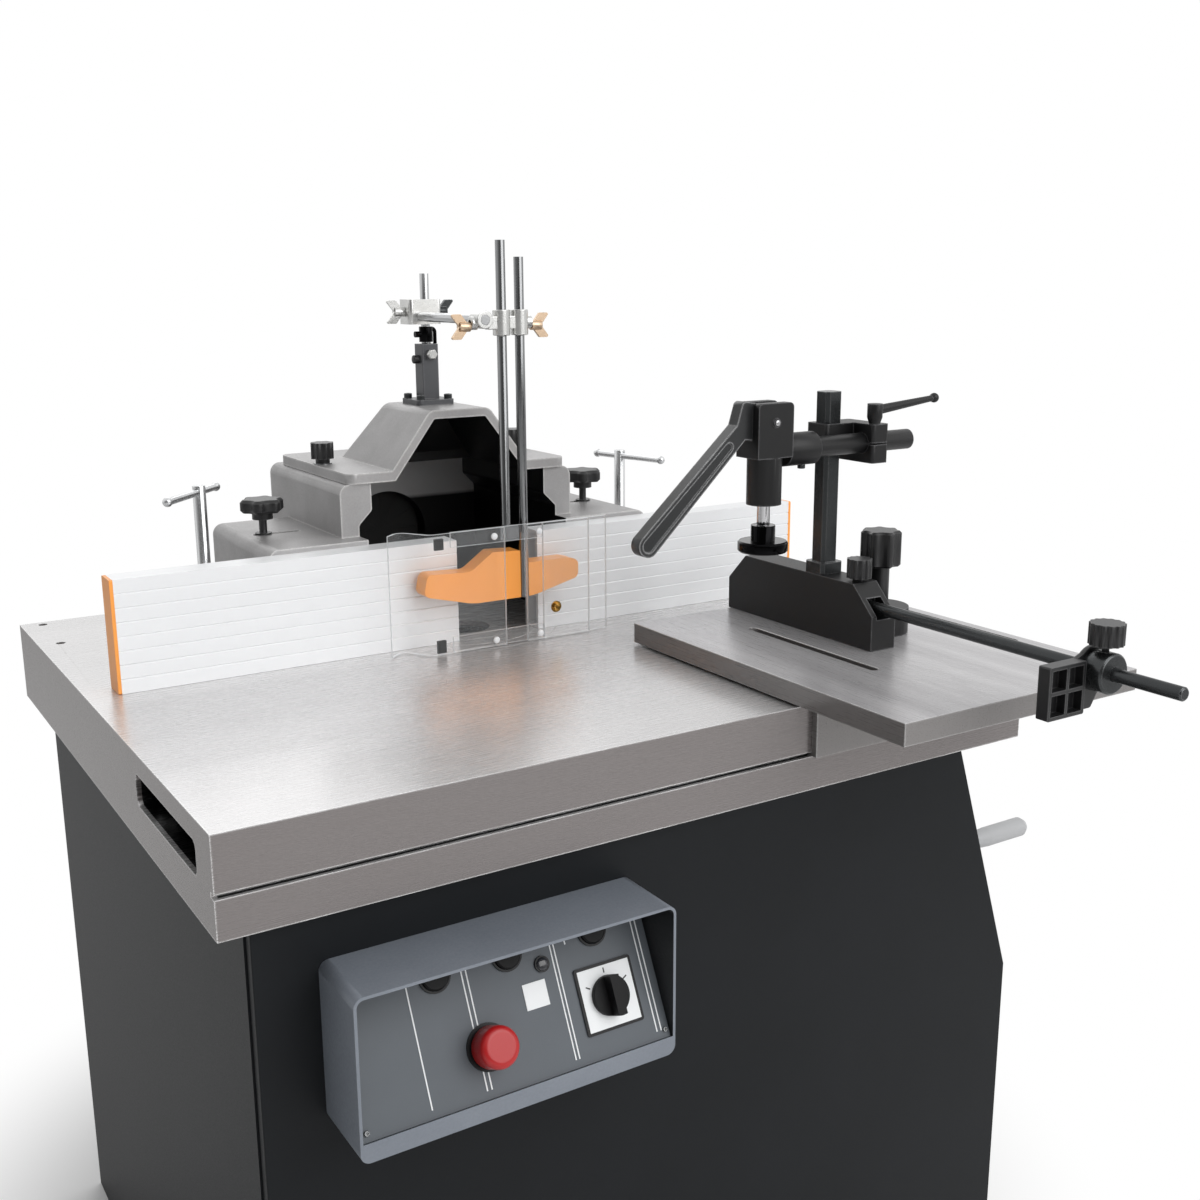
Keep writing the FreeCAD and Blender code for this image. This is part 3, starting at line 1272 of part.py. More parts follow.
def hood_lid():
    """Lid plate whose middle rises in an open-fronted hat over tall cutters."""
    lid_back = lid_front + LID_DEPTH
    half = LID_WIDTH / 2
    plate = slab_xy([(-half, lid_front, LID_CORNER), (half, lid_front, LID_CORNER),
                     (half, lid_back, LID_CORNER), (-half, lid_back, LID_CORNER)], lid_foot, lid_top)
    hat_back = lid_front + HAT_LENGTH
    hat = slab_xz(hat_outline(0, lid_foot), lid_front, hat_back)
    lean = slab_yz(sharp([(hat_back, lid_top), (hat_back, hat_top), (hat_back - HAT_LEAN, hat_top)]),
                   -HAT_FOOT / 2, HAT_FOOT / 2)
    hollow = slab_xz(hat_outline(HAT_WALL, lid_foot), lid_front, hat_back - HAT_WALL)
    hollow_lean = slab_yz(sharp([(hat_back - HAT_WALL, lid_top), (hat_back - HAT_WALL, hat_top),
                                 (hat_back - HAT_WALL - HAT_LEAN, hat_top)]), -HAT_FOOT / 2, HAT_FOOT / 2)
    holes = [bar_z(side * LID_KNOB_SPAN / 2, lid_front + LID_KNOB_BACK, lid_foot, lid_top, LID_STUD_R + RUN)
             for side in (-1, 1)]
    return cut(fuse(plate, cut(hat, lean)), cut(hollow, hollow_lean), *holes)


def lid_knob(side):
    """Fluted knob whose stud goes through the lid into the cheek."""
    x = side * LID_KNOB_SPAN / 2
    y = lid_front + LID_KNOB_BACK
    foot = lid_top + SLIDE
    neck = foot + LID_KNOB_HEIGHT / 4
    hub = bar_z(x, y, foot, neck, LID_KNOB_HUB_R)
    cap = lobed(x, y, neck, foot + LID_KNOB_HEIGHT, LID_KNOB_R, LID_KNOB_LOBE, LID_KNOB_LOBES)
    return fuse(hub, cap, bar_z(x, y, lid_foot - LID_STUD_DEPTH + FREE, foot, LID_STUD_R))


def clamp_bolt(side):
    """Long bolt with a collar on the hood's foot and a tommy bar through its head."""
    x = side * bolt_x
    collar = TABLE_TOP + FOOT_THICK + SLIDE
    top = TABLE_TOP + BOLT_HEIGHT
    bolt = fuse(bar_z(x, BOLT_BACK, TABLE_TOP - BOLT_GRIP + FREE, top, BOLT_R),
                bar_z(x, BOLT_BACK, collar, collar + BOLT_COLLAR, BOLT_COLLAR_R))
    z = top - TOMMY_DROP
    bolt = cut(bolt, bar_y(x, z, BOLT_BACK - BOLT_COLLAR_R, BOLT_BACK + BOLT_COLLAR_R, TOMMY_R + RUN))
    front = BOLT_BACK - TOMMY_LENGTH / 2 - TOMMY_SLIDE
    back = front + TOMMY_LENGTH
    ends = [Part.makeSphere(TOMMY_KNOB_R, vec(x, y, z)) for y in (front, back)]
    both = group(bolt, fuse(bar_y(x, z, front, back, TOMMY_R), *ends))
    both.rotate(vec(x, BOLT_BACK, 0), vec(0, 0, 1), TOMMY_TURN_LEFT if side < 0 else TOMMY_TURN_RIGHT)
    return both


def fence_profile():
    """End view of a fence plate: grooved face in front, hollow cells inside."""
    foot = TABLE_TOP + SLIDE
    top = foot + FENCE_HEIGHT
    pitch = FENCE_HEIGHT / (FENCE_GROOVES + 1)
    points = [(fence_back, foot), (fence_back, top), (fence_front, top)]
    for i in range(FENCE_GROOVES):
        z = top - pitch * (i + 1)
        points += [(fence_front, z + FENCE_GROOVE / 2), (fence_front + FENCE_GROOVE / 2, z),
                   (fence_front, z - FENCE_GROOVE / 2)]
    return sharp(points + [(fence_front, foot)])


def fence_plate(x0, x1, carrier_x):
    """Aluminium extrusion from x0 to x1, with the bar at its back that reaches into the hood's wing."""
    plate = slab_yz(fence_profile(), x0, x1)
    foot = TABLE_TOP + SLIDE + FENCE_SKIN
    cell = (FENCE_HEIGHT - FENCE_SKIN) / FENCE_CELLS
    cells = [box(x0, x1, fence_front + FENCE_GROOVE / 2 + FENCE_SKIN, fence_back - FENCE_SKIN,
                 foot + i * cell, foot + (i + 1) * cell - FENCE_SKIN) for i in range(FENCE_CELLS)]
    half = CARRIER_WIDTH / 2
    z0 = TABLE_TOP + CARRIER_HEIGHT
    bar = slab_xy([(carrier_x - half, fence_back, 0), (carrier_x + half, fence_back, 0),
                   (carrier_x + half, fence_back + CARRIER_LENGTH, half / 2),
                   (carrier_x - half, fence_back + CARRIER_LENGTH, half / 2)], z0, z0 + CARRIER_THICK)
    bar = cut(bar, bar_z(carrier_x, STAR_BACK, z0, z0 + CARRIER_THICK, STAR_STUD_R + RUN))
    return group(cut(plate, *cells), bar)


def fence_plate_left():
    return fence_plate(CAP_THICK - LEFT_PLATE_OUT, -LEFT_PLATE_IN, -STAR_SPAN / 2)


def fence_plate_right():
    return fence_plate(RIGHT_PLATE_IN, RIGHT_PLATE_OUT - CAP_THICK, STAR_SPAN / 2)


def end_cap(x0):
    """Moulded cap on the outer end of a fence plate."""
    foot = TABLE_TOP + SLIDE
    return slab_yz(rounded_box(fence_front, fence_back, foot, foot + FENCE_HEIGHT, CAP_THICK / 2),
                   x0, x0 + CAP_THICK)


def star_knob(side):
    """Lobed knob; its stud passes the wing's slot into the carrier of the fence plate."""
    x = side * STAR_SPAN / 2
    seat = wing_top + SLIDE
    hub = wing_top + STAR_STUD
    neck = hub + STAR_HUB
    stud = bar_z(x, STAR_BACK, TABLE_TOP + CARRIER_HEIGHT + FREE, hub, STAR_STUD_R)
    washer = bar_z(x, STAR_BACK, seat, seat + STAR_WASHER, STAR_WASHER_R)
    collar = bar_z(x, STAR_BACK, hub, neck, STAR_HUB_R)
    cap = lobed(x, STAR_BACK, neck, neck + STAR_THICK, STAR_R, STAR_LOBE, STAR_LOBES)
    return fuse(stud, washer, collar, cap.makeChamfer(STAR_CHAMFER, level_edges(cap)))


def pressure_post():
    """Square post on a flange with four screws."""
    half = POST_FLANGE / 2
    flange_top = hat_top + POST_FLANGE_THICK
    flange = slab_xy(rounded_box(-half, half, POST_BACK - half, POST_BACK + half, POST_FLANGE_CORNER),
                     hat_top, flange_top)
    side = POST_SIDE / 2
    post = slab_xy(rounded_box(-side, side, POST_BACK - side, POST_BACK + side, POST_CORNER),
                   flange_top, post_top)
    inset = half - POST_FLANGE_THICK
    screws = [bar_z(x, POST_BACK + y, flange_top, flange_top + FLANGE_SCREW, FLANGE_SCREW_R)
              for x in (-inset, inset) for y in (-inset, inset)]
    inner = ROD_R + RUN
    bore = bar_z(0, POST_BACK, post_top - POST_ROD_DEPTH, post_top, inner)
    thumb = bar_x(POST_BACK, post_top - POST_ROD_DEPTH / 2, -side - THUMB, -inner, THUMB_R)
    bolt = bar_y(0, post_top - POST_ROD_DEPTH / 3, POST_BACK - side - POST_BOLT, POST_BACK - inner,
                 POST_BOLT_R)
    return cut(fuse(flange, post, thumb, bolt, *screws), bore)


def post_rod():
    """Rod in the post, with the stop collar and the safety hook that reaches back to the post."""
    rod = bar_z(0, POST_BACK, post_top - POST_ROD_DEPTH, post_top + POST_ROD_LENGTH, ROD_R)
    foot = post_top + HOOK_R
    collar = ring(0, POST_BACK, foot, foot + POST_COLLAR, POST_COLLAR_R, ROD_R + RUN)
    screw = bar_x(POST_BACK, foot + POST_COLLAR / 2, -POST_COLLAR_R - THUMB, -ROD_R - RUN, THUMB_R)
    top = foot + POST_COLLAR - HOOK_R
    root = POST_COLLAR_R - HOOK_SINK
    bend = HOOK_REACH - root
    eighth = math.pi / 4
    start = vec(root, POST_BACK, top)
    crown = vec(root + bend * math.sin(eighth), POST_BACK, top - bend * (1 - math.cos(eighth)))
    drop = vec(HOOK_REACH, POST_BACK, top - bend)
    path = Part.Wire([Part.Arc(start, crown, drop).toShape(),
                      Part.LineSegment(drop, vec(HOOK_REACH, POST_BACK, post_top)).toShape()])
    hook = path.makePipeShell([Part.Wire(Part.makeCircle(HOOK_R, start, vec(1, 0, 0)))], True, False)
    return group(rod, fuse(collar, screw, hook))


def wing_screw(tip, y, z, side):
    """Wing screw along X: stud into the clamp at tip, hub, two flared wings; side is -1 left, 1 right."""
    hub_in = tip + side * FREE
    hub_out = hub_in + side * WING_HUB
    hub = bar_x(y, z, min(hub_in, hub_out), max(hub_in, hub_out), WING_HUB_R)
    depth = tip - side * WING_STUD
    stud = bar_x(y, z, min(depth, hub_in), max(depth, hub_in), WING_STUD_R)
    flare = side * WING_FLARE
    wings = []
    for up in (-1, 1):
        edge = z + up * WING_SPREAD
        profile = [(hub_in, z, 0), (hub_out, z, 0), (hub_out + flare, edge, WING_TIP_ROUND),
                   (hub_in + flare, edge, WING_TIP_ROUND)]
        wings.append(slab_xz(profile, y - WING_HUB_R / 3, y + WING_HUB_R / 3))
    return fuse(hub, stud, *wings)


def cross_clamp():
    """Block that grips the post rod and the cross rod side by side."""
    half = CROSS_CLAMP_WIDTH / 2
    depth = CROSS_CLAMP_DEPTH / 2
    x0 = cross_rod_x / 2 - half
    block = slab_xy(rounded_box(x0, x0 + CROSS_CLAMP_WIDTH, POST_BACK - depth, POST_BACK + depth,
                                CROSS_CLAMP_CORNER), cross_foot, cross_foot + CROSS_CLAMP_HEIGHT)
    post_hole = bar_z(0, POST_BACK, cross_foot, cross_foot + CROSS_CLAMP_HEIGHT, ROD_R + RUN)
    rod_hole = bar_y(cross_rod_x, cross_z, POST_BACK - depth, POST_BACK + depth, ROD_R + RUN)
    studs = [bar_x(POST_BACK, cross_screw_z, x0, x0 + WING_STUD, WING_STUD_R + RUN),
             bar_x(POST_BACK, cross_screw_z, x0 + CROSS_CLAMP_WIDTH - WING_STUD, x0 + CROSS_CLAMP_WIDTH,
                   WING_STUD_R + RUN)]
    return cut(block, post_hole, rod_hole, *studs)


def cross_wing(side):
    edge = cross_rod_x / 2 + side * CROSS_CLAMP_WIDTH / 2
    return wing_screw(edge, POST_BACK, cross_screw_z, side)


def cross_rod():
    back = POST_BACK + CROSS_ROD_BACK + CROSS_CLAMP_DEPTH / 2
    return bar_y(cross_rod_x, cross_z, rods_y - DOUBLE_DEPTH / 2, back, ROD_R)


def double_clamp():
    """Long block on the cross rod that grips the two upright rods."""
    x0, x1 = double_left, double_right
    y0, y1 = rods_y - DOUBLE_DEPTH / 2, rods_y + DOUBLE_DEPTH / 2
    z0, z1 = double_foot, double_foot + DOUBLE_HEIGHT
    block = slab_xz(rounded_box(x0, x1, z0, z1, DOUBLE_CORNER), y0, y1)
    holes = [bar_y(cross_rod_x, cross_z, y0, y1, ROD_R + RUN)]
    holes += [bar_z(x, rods_y, z0, z1, ROD_R + RUN) for x in (GUARD_ROD_X, SHOE_ROD_X)]
    depth = WING_STUD + SLIDE
    studs = [bar_x(rods_y, double_z, x0, x0 + depth, WING_STUD_R + RUN),
             bar_x(rods_y, double_z, x1 - depth, x1, WING_STUD_R + RUN)]
    half = DOUBLE_WAIST / 2
    waists = []
    for x in ((cross_rod_x + GUARD_ROD_X) / 2, (GUARD_ROD_X + SHOE_ROD_X) / 2):
        waists.append(box(x - half, x + half, y0, y0 + DOUBLE_DEPTH / 4, z0, z1))
    return cut(block, *holes, *studs, *waists)


def double_wing(side):
    edge = double_left if side < 0 else double_right
    return wing_screw(edge, rods_y, double_z, side)


def guard_sheet():
    """Clear guard: two sheets with a gap for the shoe's rod, tied by strips; the left one curves back."""
    t = GUARD_SHEET
    y = guard_front
    top = guard_foot + GUARD_HEIGHT
    crest = -GUARD_WAVE_X - GUARD_WAVE_RUN
    bend = GUARD_WAVE_ROUND
    back = y + GUARD_WAVE_BACK
    slope = t * math.tan(math.atan2(GUARD_WAVE_BACK, GUARD_WAVE_RUN) / 2)
    plan = [(GUARD_SLOT_X, y, 0), (GUARD_SLOT_X, y + t, 0), (slope - GUARD_WAVE_X, y + t, bend),
            (crest, back + t, bend), (-GUARD_LEFT, y + GUARD_WAVE_BACK / 2 + t, 0),
            (-GUARD_LEFT, y + GUARD_WAVE_BACK / 2, 0), (crest, back - slope, bend - t),
            (-GUARD_WAVE_X - slope, y, bend + t)]
    left = slab_xy(plan, guard_foot, top)
    right = box(GUARD_SLOT_X + GUARD_SLOT, GUARD_RIGHT, y, y + t, guard_foot, top)
    strips = [box(-GUARD_STRIP_LEFT, GUARD_STRIP_RIGHT, y + t, y + 2 * t, z, z + GUARD_STRIP)
              for z in (guard_foot, top - GUARD_STRIP)]
    extension = box(GUARD_STRIP_RIGHT + SLIDE, GUARD_WING, y + t, y + 2 * t, guard_foot, top)
    return group(left, right, extension, *strips)


def guard_rod():
    """Upright rod with the saddle that carries the guard."""
    top_strip = guard_foot + GUARD_HEIGHT - GUARD_STRIP
    strip_back = guard_back + GUARD_SHEET
    rod_foot = top_strip + SLIDE
    rod = bar_z(GUARD_ROD_X, rods_y, rod_foot, rod_foot + GUARD_ROD_LENGTH, ROD_R)
    half = GUARD_SADDLE / 2
    saddle = slab_xy([(GUARD_ROD_X - half, strip_back, 0), (GUARD_ROD_X + half, strip_back, 0),
                      (GUARD_ROD_X + half, strip_back + 2 * FREE, 0), (GUARD_ROD_X + ROD_R, rods_y, 0),
                      (GUARD_ROD_X - ROD_R, rods_y, 0), (GUARD_ROD_X - half, strip_back + 2 * FREE, 0)],
                     rod_foot, rod_foot + GUARD_STRIP)
    return fuse(rod, saddle)


def pressure_shoe():
    """Boat-shaped shoe: curved sole, low ends and a hump; a slot in its face takes the rod."""
    left, right = -SHOE_LEFT, SHOE_RIGHT
    top = shoe_foot + SHOE_HEIGHT
    crown = top + SHOE_HUMP
    neck = GUARD_ROD_X + SHOE_HUMP
    corners = [(left + SHOE_TOE, shoe_foot, SHOE_SOLE_R), (right - SHOE_TOE, shoe_foot, SHOE_SOLE_R),
               (right, shoe_foot + SHOE_RISE, SHOE_RISE / 2), (right, top - SHOE_RISE / 4, SHOE_RISE / 2),
               (right - SHOE_RISE, top, SHOE_RISE / 3), (SHOE_ROD_X + ROD_R, top, SHOE_RISE / 3),
               (neck, crown - SHOE_NECK_DROP, SHOE_NECK_R), (-SHOE_HUMP / 3, crown, SHOE_CROWN_R),
               (-2 * SHOE_HUMP, top - SHOE_RISE / 6, SHOE_RISE), (left + SHOE_RISE / 3, top, SHOE_RISE / 2),
               (left, shoe_foot + SHOE_RISE, SHOE_RISE / 2)]
    body = slab_xz(corners, shoe_front, shoe_front + SHOE_THICK)
    half = ROD_R + RUN
    slot = fuse(bar_z(SHOE_ROD_X, rods_y, shoe_foot, crown, half),
                box(SHOE_ROD_X - half, SHOE_ROD_X + half, shoe_front, rods_y, shoe_foot, crown))
    return cut(body, slot)


def shoe_rod():
    return bar_z(SHOE_ROD_X, rods_y, shoe_foot + SLIDE, shoe_foot + SHOE_ROD_LENGTH, ROD_R)


def ground_plate():
    """Plate with two clamping slots and the tapped hole under the mitre fence's knob."""
    plate = box(PLATE_LEFT, plate_right, plate_front, plate_back, plate_foot, plate_top)
    half = PLATE_SLOT_WIDTH / 2
    y0 = plate_front + PLATE_SLOT_FRONT
    slots = [slab_xy(slot_box(PLATE_LEFT + x - half, PLATE_LEFT + x + half, y0, y0 + PLATE_SLOT_LENGTH),
                     plate_foot, plate_top) for x in PLATE_SLOTS]
    stud = bar_z(pivot_x, pivot_y, plate_foot, plate_top, LOBE_STUD_R + RUN)
    return cut(plate, stud, *slots)


def slide_guide():
    """Angle under the plate whose tongue runs in the table's groove, and the pads the plate rides on."""
    x0, x1 = PLATE_LEFT + GUIDE_BAR_INSET, plate_right - GUIDE_BAR_INSET
    face = table_front - SLIDE
    groove_z = TABLE_TOP - GROOVE_DROP
    tongue = GROOVE_HEIGHT / 2 - SLIDE
    tip = face + GROOVE_DEPTH - SLIDE
    front = face - GUIDE_BAR
    profile = sharp([(front - GUIDE_BAR_LEG, plate_foot), (face, plate_foot), (face, groove_z + tongue),
                     (tip, groove_z + tongue), (tip, groove_z - tongue), (front, groove_z - tongue),
                     (front, plate_foot - GUIDE_BAR), (front - GUIDE_BAR_LEG, plate_foot - GUIDE_BAR)])
    left, right = (PLATE_LEFT + x for x in PLATE_SLOTS)
    gap = PAD_WIDTH / 2
    pads = [box(left + gap, right - gap, y, y + PAD_WIDTH, TABLE_TOP + SLIDE, plate_foot)
            for y in (table_front + TABLE_WALL, plate_back - TABLE_WALL - PAD_WIDTH)]
    return [slab_yz(profile, x0, x1)] + pads


def sliding_plate():
    return group(ground_plate(), *slide_guide())


def mitre_fence():
    """Long body with sloped ends, a round foot for the clamping knob and a bore for the stop rod."""
    slope = MITRE_SLOPE
    bend = MITRE_ROUND
    side = [(mitre_front, mitre_foot, 0), (mitre_back, mitre_foot, 0), (mitre_back, mitre_top - slope, bend),
            (mitre_back - slope, mitre_top, bend), (mitre_front + slope, mitre_top, bend),
            (mitre_front, mitre_top - slope, bend)]
    body = slab_yz(side, mitre_left, mitre_right)
    foot_top = mitre_foot + MITRE_FOOT_HEIGHT
    foot = fuse(bar_z(pivot_x, pivot_y, mitre_foot, foot_top, MITRE_FOOT_R),
                box(mitre_x, pivot_x, pivot_y - MITRE_NECK, pivot_y + MITRE_NECK, mitre_foot, foot_top))
    bore_end = mitre_front + STOP_ROD_IN + STOP_ROD_PUSH + FREE
    bore = bar_y(mitre_x, stop_z, mitre_front, bore_end, STOP_ROD_R + RUN)
    half = STOP_MOUTH / 2
    mouth = box(mitre_x - half, mitre_x + half, mitre_front, mitre_front + STOP_MOUTH_DEPTH,
                stop_z - half, stop_z + half)
    stud = bar_z(pivot_x, pivot_y, mitre_foot, foot_top, LOBE_STUD_R + RUN)
    set_hole = bar_z(mitre_x, mitre_front + SET_KNOB_BACK, stop_z, mitre_top, SET_STUD_R + RUN)
    return cut(fuse(body, foot), bore, mouth, stud, set_hole)


def lobed_knob():
    """Tall knob with finger lobes; its stud goes through the foot into the sliding plate."""
    foot_top = mitre_foot + MITRE_FOOT_HEIGHT
    z = foot_top + LOBE_KNOB_LIFT
    stud = bar_z(pivot_x, pivot_y, plate_foot + FREE, z, LOBE_STUD_R)
    hub = bar_z(pivot_x, pivot_y, foot_top + SLIDE, z, LOBE_HUB_R)
    cap = lobed(pivot_x, pivot_y, z, z + LOBE_KNOB_HEIGHT, LOBE_KNOB_R, LOBE_KNOB_LOBE, LOBE_KNOB_LOBES)
    return fuse(stud, hub, cap.makeChamfer(LOBE_KNOB_CHAMFER, level_edges(cap)))


def set_knob():
    """Small knob that holds the stop rod in the mitre fence."""
    y = mitre_front + SET_KNOB_BACK
    z = mitre_top + SET_KNOB_LIFT
    stud = bar_z(mitre_x, y, stop_z + STOP_ROD_R + FREE, z, SET_STUD_R)
    hub = bar_z(mitre_x, y, mitre_top + SLIDE, z, SET_KNOB_R / 2)
    cap = lobed(mitre_x, y, z, z + SET_KNOB_HEIGHT, SET_KNOB_R, SET_KNOB_LOBE, SET_KNOB_LOBES)
    return fuse(stud, hub, cap)


def stop_rod():
    y0, y1 = mitre_front - STOP_ROD_OUT, mitre_front + STOP_ROD_IN
    rod = bar_y(mitre_x, stop_z, y0, y1, STOP_ROD_R)
    return rod.makeChamfer(STOP_ROD_R / 5, [e for e in rod.Edges if e.BoundBox.YLength < 1e-6])


def flip_stop():
    """Ribbed plate beside the rod with four pockets in its front, on a thin hub round the rod."""
    x0, x1 = mitre_x - FLIP_REACH, mitre_x - STOP_COLLAR_R - FREE
    z0, z1 = stop_z - FLIP_DROP, stop_z + FLIP_RISE
    hub_front = flip_back - FLIP_HUB
    plate = slab_xz(rounded_box(x0, x1, z0, z1, FLIP_CORNER), flip_front, flip_back)
    web = slab_xz([(x1 - FLIP_WEB, z0, 0), (mitre_x, z0, FLIP_WEB), (mitre_x + FLIP_HUB_R, stop_z, 0),
                   (mitre_x, stop_z + FLIP_HUB_R, 0), (x1 - FLIP_WEB, z1, 0)], hub_front, flip_back)
    hub = bar_y(mitre_x, stop_z, hub_front, flip_back, FLIP_HUB_R)
    width, height = (x1 - x0 - 3 * FLIP_WEB) / 2, (z1 - z0 - 3 * FLIP_WEB) / 2
    pockets = []
    for i in range(2):
        for k in range(2):
            px = x0 + FLIP_WEB + i * (width + FLIP_WEB)
            pz = z0 + FLIP_WEB + k * (height + FLIP_WEB)
            pockets.append(box(px, px + width, flip_front, flip_back - FLIP_WEB, pz, pz + height))
    bore = bar_y(mitre_x, stop_z, flip_front, flip_back, STOP_ROD_R + RUN)
    return cut(fuse(plate, web, hub), *pockets, bore)


def stop_collar():
    """Clamping collar in front of the flip stop, tapped for its knob."""
    collar = bar_y(mitre_x, stop_z, collar_front, collar_back, STOP_COLLAR_R)
    rim = [edge for edge in collar.Edges if abs(edge.BoundBox.YMax - collar_front) < 1e-6]
    bore = bar_y(mitre_x, stop_z, collar_front, collar_back, STOP_ROD_R + RUN)
    stud = bar_z(mitre_x, collar_y, stop_z, stop_z + STOP_COLLAR_R, STOP_STUD_R + RUN)
    return cut(collar.makeChamfer(STOP_COLLAR_R / 10, rim), bore, stud)


def stop_knob():
    z = stop_z + STOP_COLLAR_R + STOP_STUD
    stud = bar_z(mitre_x, collar_y, stop_z + STOP_ROD_R + FREE, z, STOP_STUD_R)
    cap = lobed(mitre_x, collar_y, z, z + STOP_KNOB_HEIGHT, STOP_KNOB_R, STOP_KNOB_LOBE, STOP_KNOB_LOBES)
    return fuse(stud, cap)


def post_section(half, chamfer):
    """Square with its corners cut off, round the axis of the clamp post."""
    points = []
    for sx, sy in ((-1, -1), (1, -1), (1, 1), (-1, 1)):
        along = (mitre_x + sx * (half - chamfer), clamp_y + sy * half)
        across = (mitre_x + sx * half, clamp_y + sy * (half - chamfer))
        points += [across, along] if sx == sy else [along, across]
    return sharp(points)


def clamp_post():
    """Upright post on the mitre fence, in its base socket."""
    post = slab_xy(post_section(CLAMP_POST_SIDE / 2, CLAMP_POST_CHAMFER), mitre_top,
                   mitre_top + CLAMP_POST_HEIGHT)
    socket = slab_xy(post_section(CLAMP_SOCKET / 2, CLAMP_POST_CHAMFER), mitre_top,
                     mitre_top + CLAMP_SOCKET_HEIGHT)
    return fuse(post, socket)


def clamp_bracket():
    """Bracket that slides on the post and grips the arm; split beside the arm."""
    top = arm_z + CLAMP_BLOCK_HEIGHT / 2
    foot = arm_z - CLAMP_BLOCK_HEIGHT / 2
    tongue_foot = top - CLAMP_TONGUE
    x0 = mitre_x - CLAMP_WALL
    inner = mitre_x + CLAMP_BLOCK_OUT
    x1 = inner + CLAMP_BLOCK
    front = arm_y - CLAMP_EARS / 2
    back = clamp_y + CLAMP_WALL
    half = CLAMP_SPLIT / 2
    tongue = slab_xy(rounded_box(x0, x1, clamp_y - CLAMP_WALL, back, CLAMP_CORNER), tongue_foot, top)
    ears = slab_xy(rounded_box(inner, x1, front, back, CLAMP_CORNER), foot, top)
    hole = slab_xy(post_section(CLAMP_POST_SIDE / 2 + SLIDE, CLAMP_POST_CHAMFER), tongue_foot, top)
    arm = bar_x(arm_y, arm_z, x0, x1, ARM_R + RUN)
    split = box(inner, x1, front, arm_y, arm_z - half, arm_z + half)
    stud = bar_z(ratchet_x, ratchet_y, arm_z, top, RATCHET_STUD_R + RUN)
    return cut(fuse(tongue, ears), hole, arm, split, stud)


def ratchet_lever():
    """Clamping lever on the bracket: hub, rising arm and a ball-ended tip."""
    top = arm_z + CLAMP_BLOCK_HEIGHT / 2
    x, y = ratchet_x, ratchet_y
    hub = turned([(0, top + SLIDE), (RATCHET_FOOT_R, top + SLIDE), (RATCHET_HUB_R, top + RATCHET_HUB / 3),
                  (RATCHET_HUB_R, top + RATCHET_HUB), (0, top + RATCHET_HUB)], x, y)
    stud = bar_z(x, y, arm_z + RATCHET_STUD_R, top + RATCHET_HUB / 2, RATCHET_STUD_R)
    start = vec(x, y, top + 2 * RATCHET_HUB / 3)
    tilt = math.radians(RATCHET_TILT)
    along = vec(math.cos(tilt), 0, math.sin(tilt))
    arm = Part.makeCone(RATCHET_ROOT_R, RATCHET_TIP_R, RATCHET_REACH, start, along)
    tip = Part.makeSphere(RATCHET_BALL_R, start + along * RATCHET_REACH)
    return fuse(hub, stud, arm, tip)


def clamp_arm():
    """Round arm through the bracket, with the collar that carries the clamp head."""
    x0 = head_x + YOKE_WIDTH / 2
    arm = bar_x(arm_y, arm_z, x0, x0 + ARM_LENGTH, ARM_R)
    collar = bar_x(arm_y, arm_z, x0, x0 + ARM_COLLAR, ARM_COLLAR_R)
    rim = [edge for edge in collar.Edges if abs(edge.BoundBox.XMin - x0 - ARM_COLLAR) < 1e-6]
    return fuse(arm, collar.makeChamfer(ARM_CHAMFER, rim))


def clamp_fork():
    """Barrel for the plunger with a forked yoke above it for the cam lever, and the lever's pin."""
    half_depth, half_width = YOKE_DEPTH / 2, YOKE_WIDTH / 2
    top = yoke_foot + YOKE_HEIGHT
    barrel = bar_z(head_x, arm_y, barrel_foot, yoke_foot, BARREL_R)
    yoke = slab_xz([(head_x - half_width, yoke_foot, 0), (head_x + half_width, yoke_foot, 0),
                    (head_x + half_width, top, YOKE_CORNER), (head_x - half_width, top, YOKE_CORNER)],
                   arm_y - half_depth, arm_y + half_depth)
    slot_half = YOKE_SLOT / 2
    slot = box(head_x - half_width, head_x + half_width, arm_y - slot_half, arm_y + slot_half,
               cam_z - CAM_R - FREE, top)
    plunger = bar_z(head_x, arm_y, barrel_foot, cam_z, PLUNGER_R + RUN)
    pin_hole = bar_y(head_x, cam_z, arm_y - half_depth, arm_y + half_depth, CAM_PIN_R + RUN)
    pin_end = half_depth + CAM_PIN_PROUD
    pin = bar_y(head_x, cam_z, arm_y - pin_end, arm_y + pin_end, CAM_PIN_R)
    return [cut(fuse(barrel, yoke), slot, plunger, pin_hole), pin]


def clamp_head():
    return group(clamp_arm(), *clamp_fork())


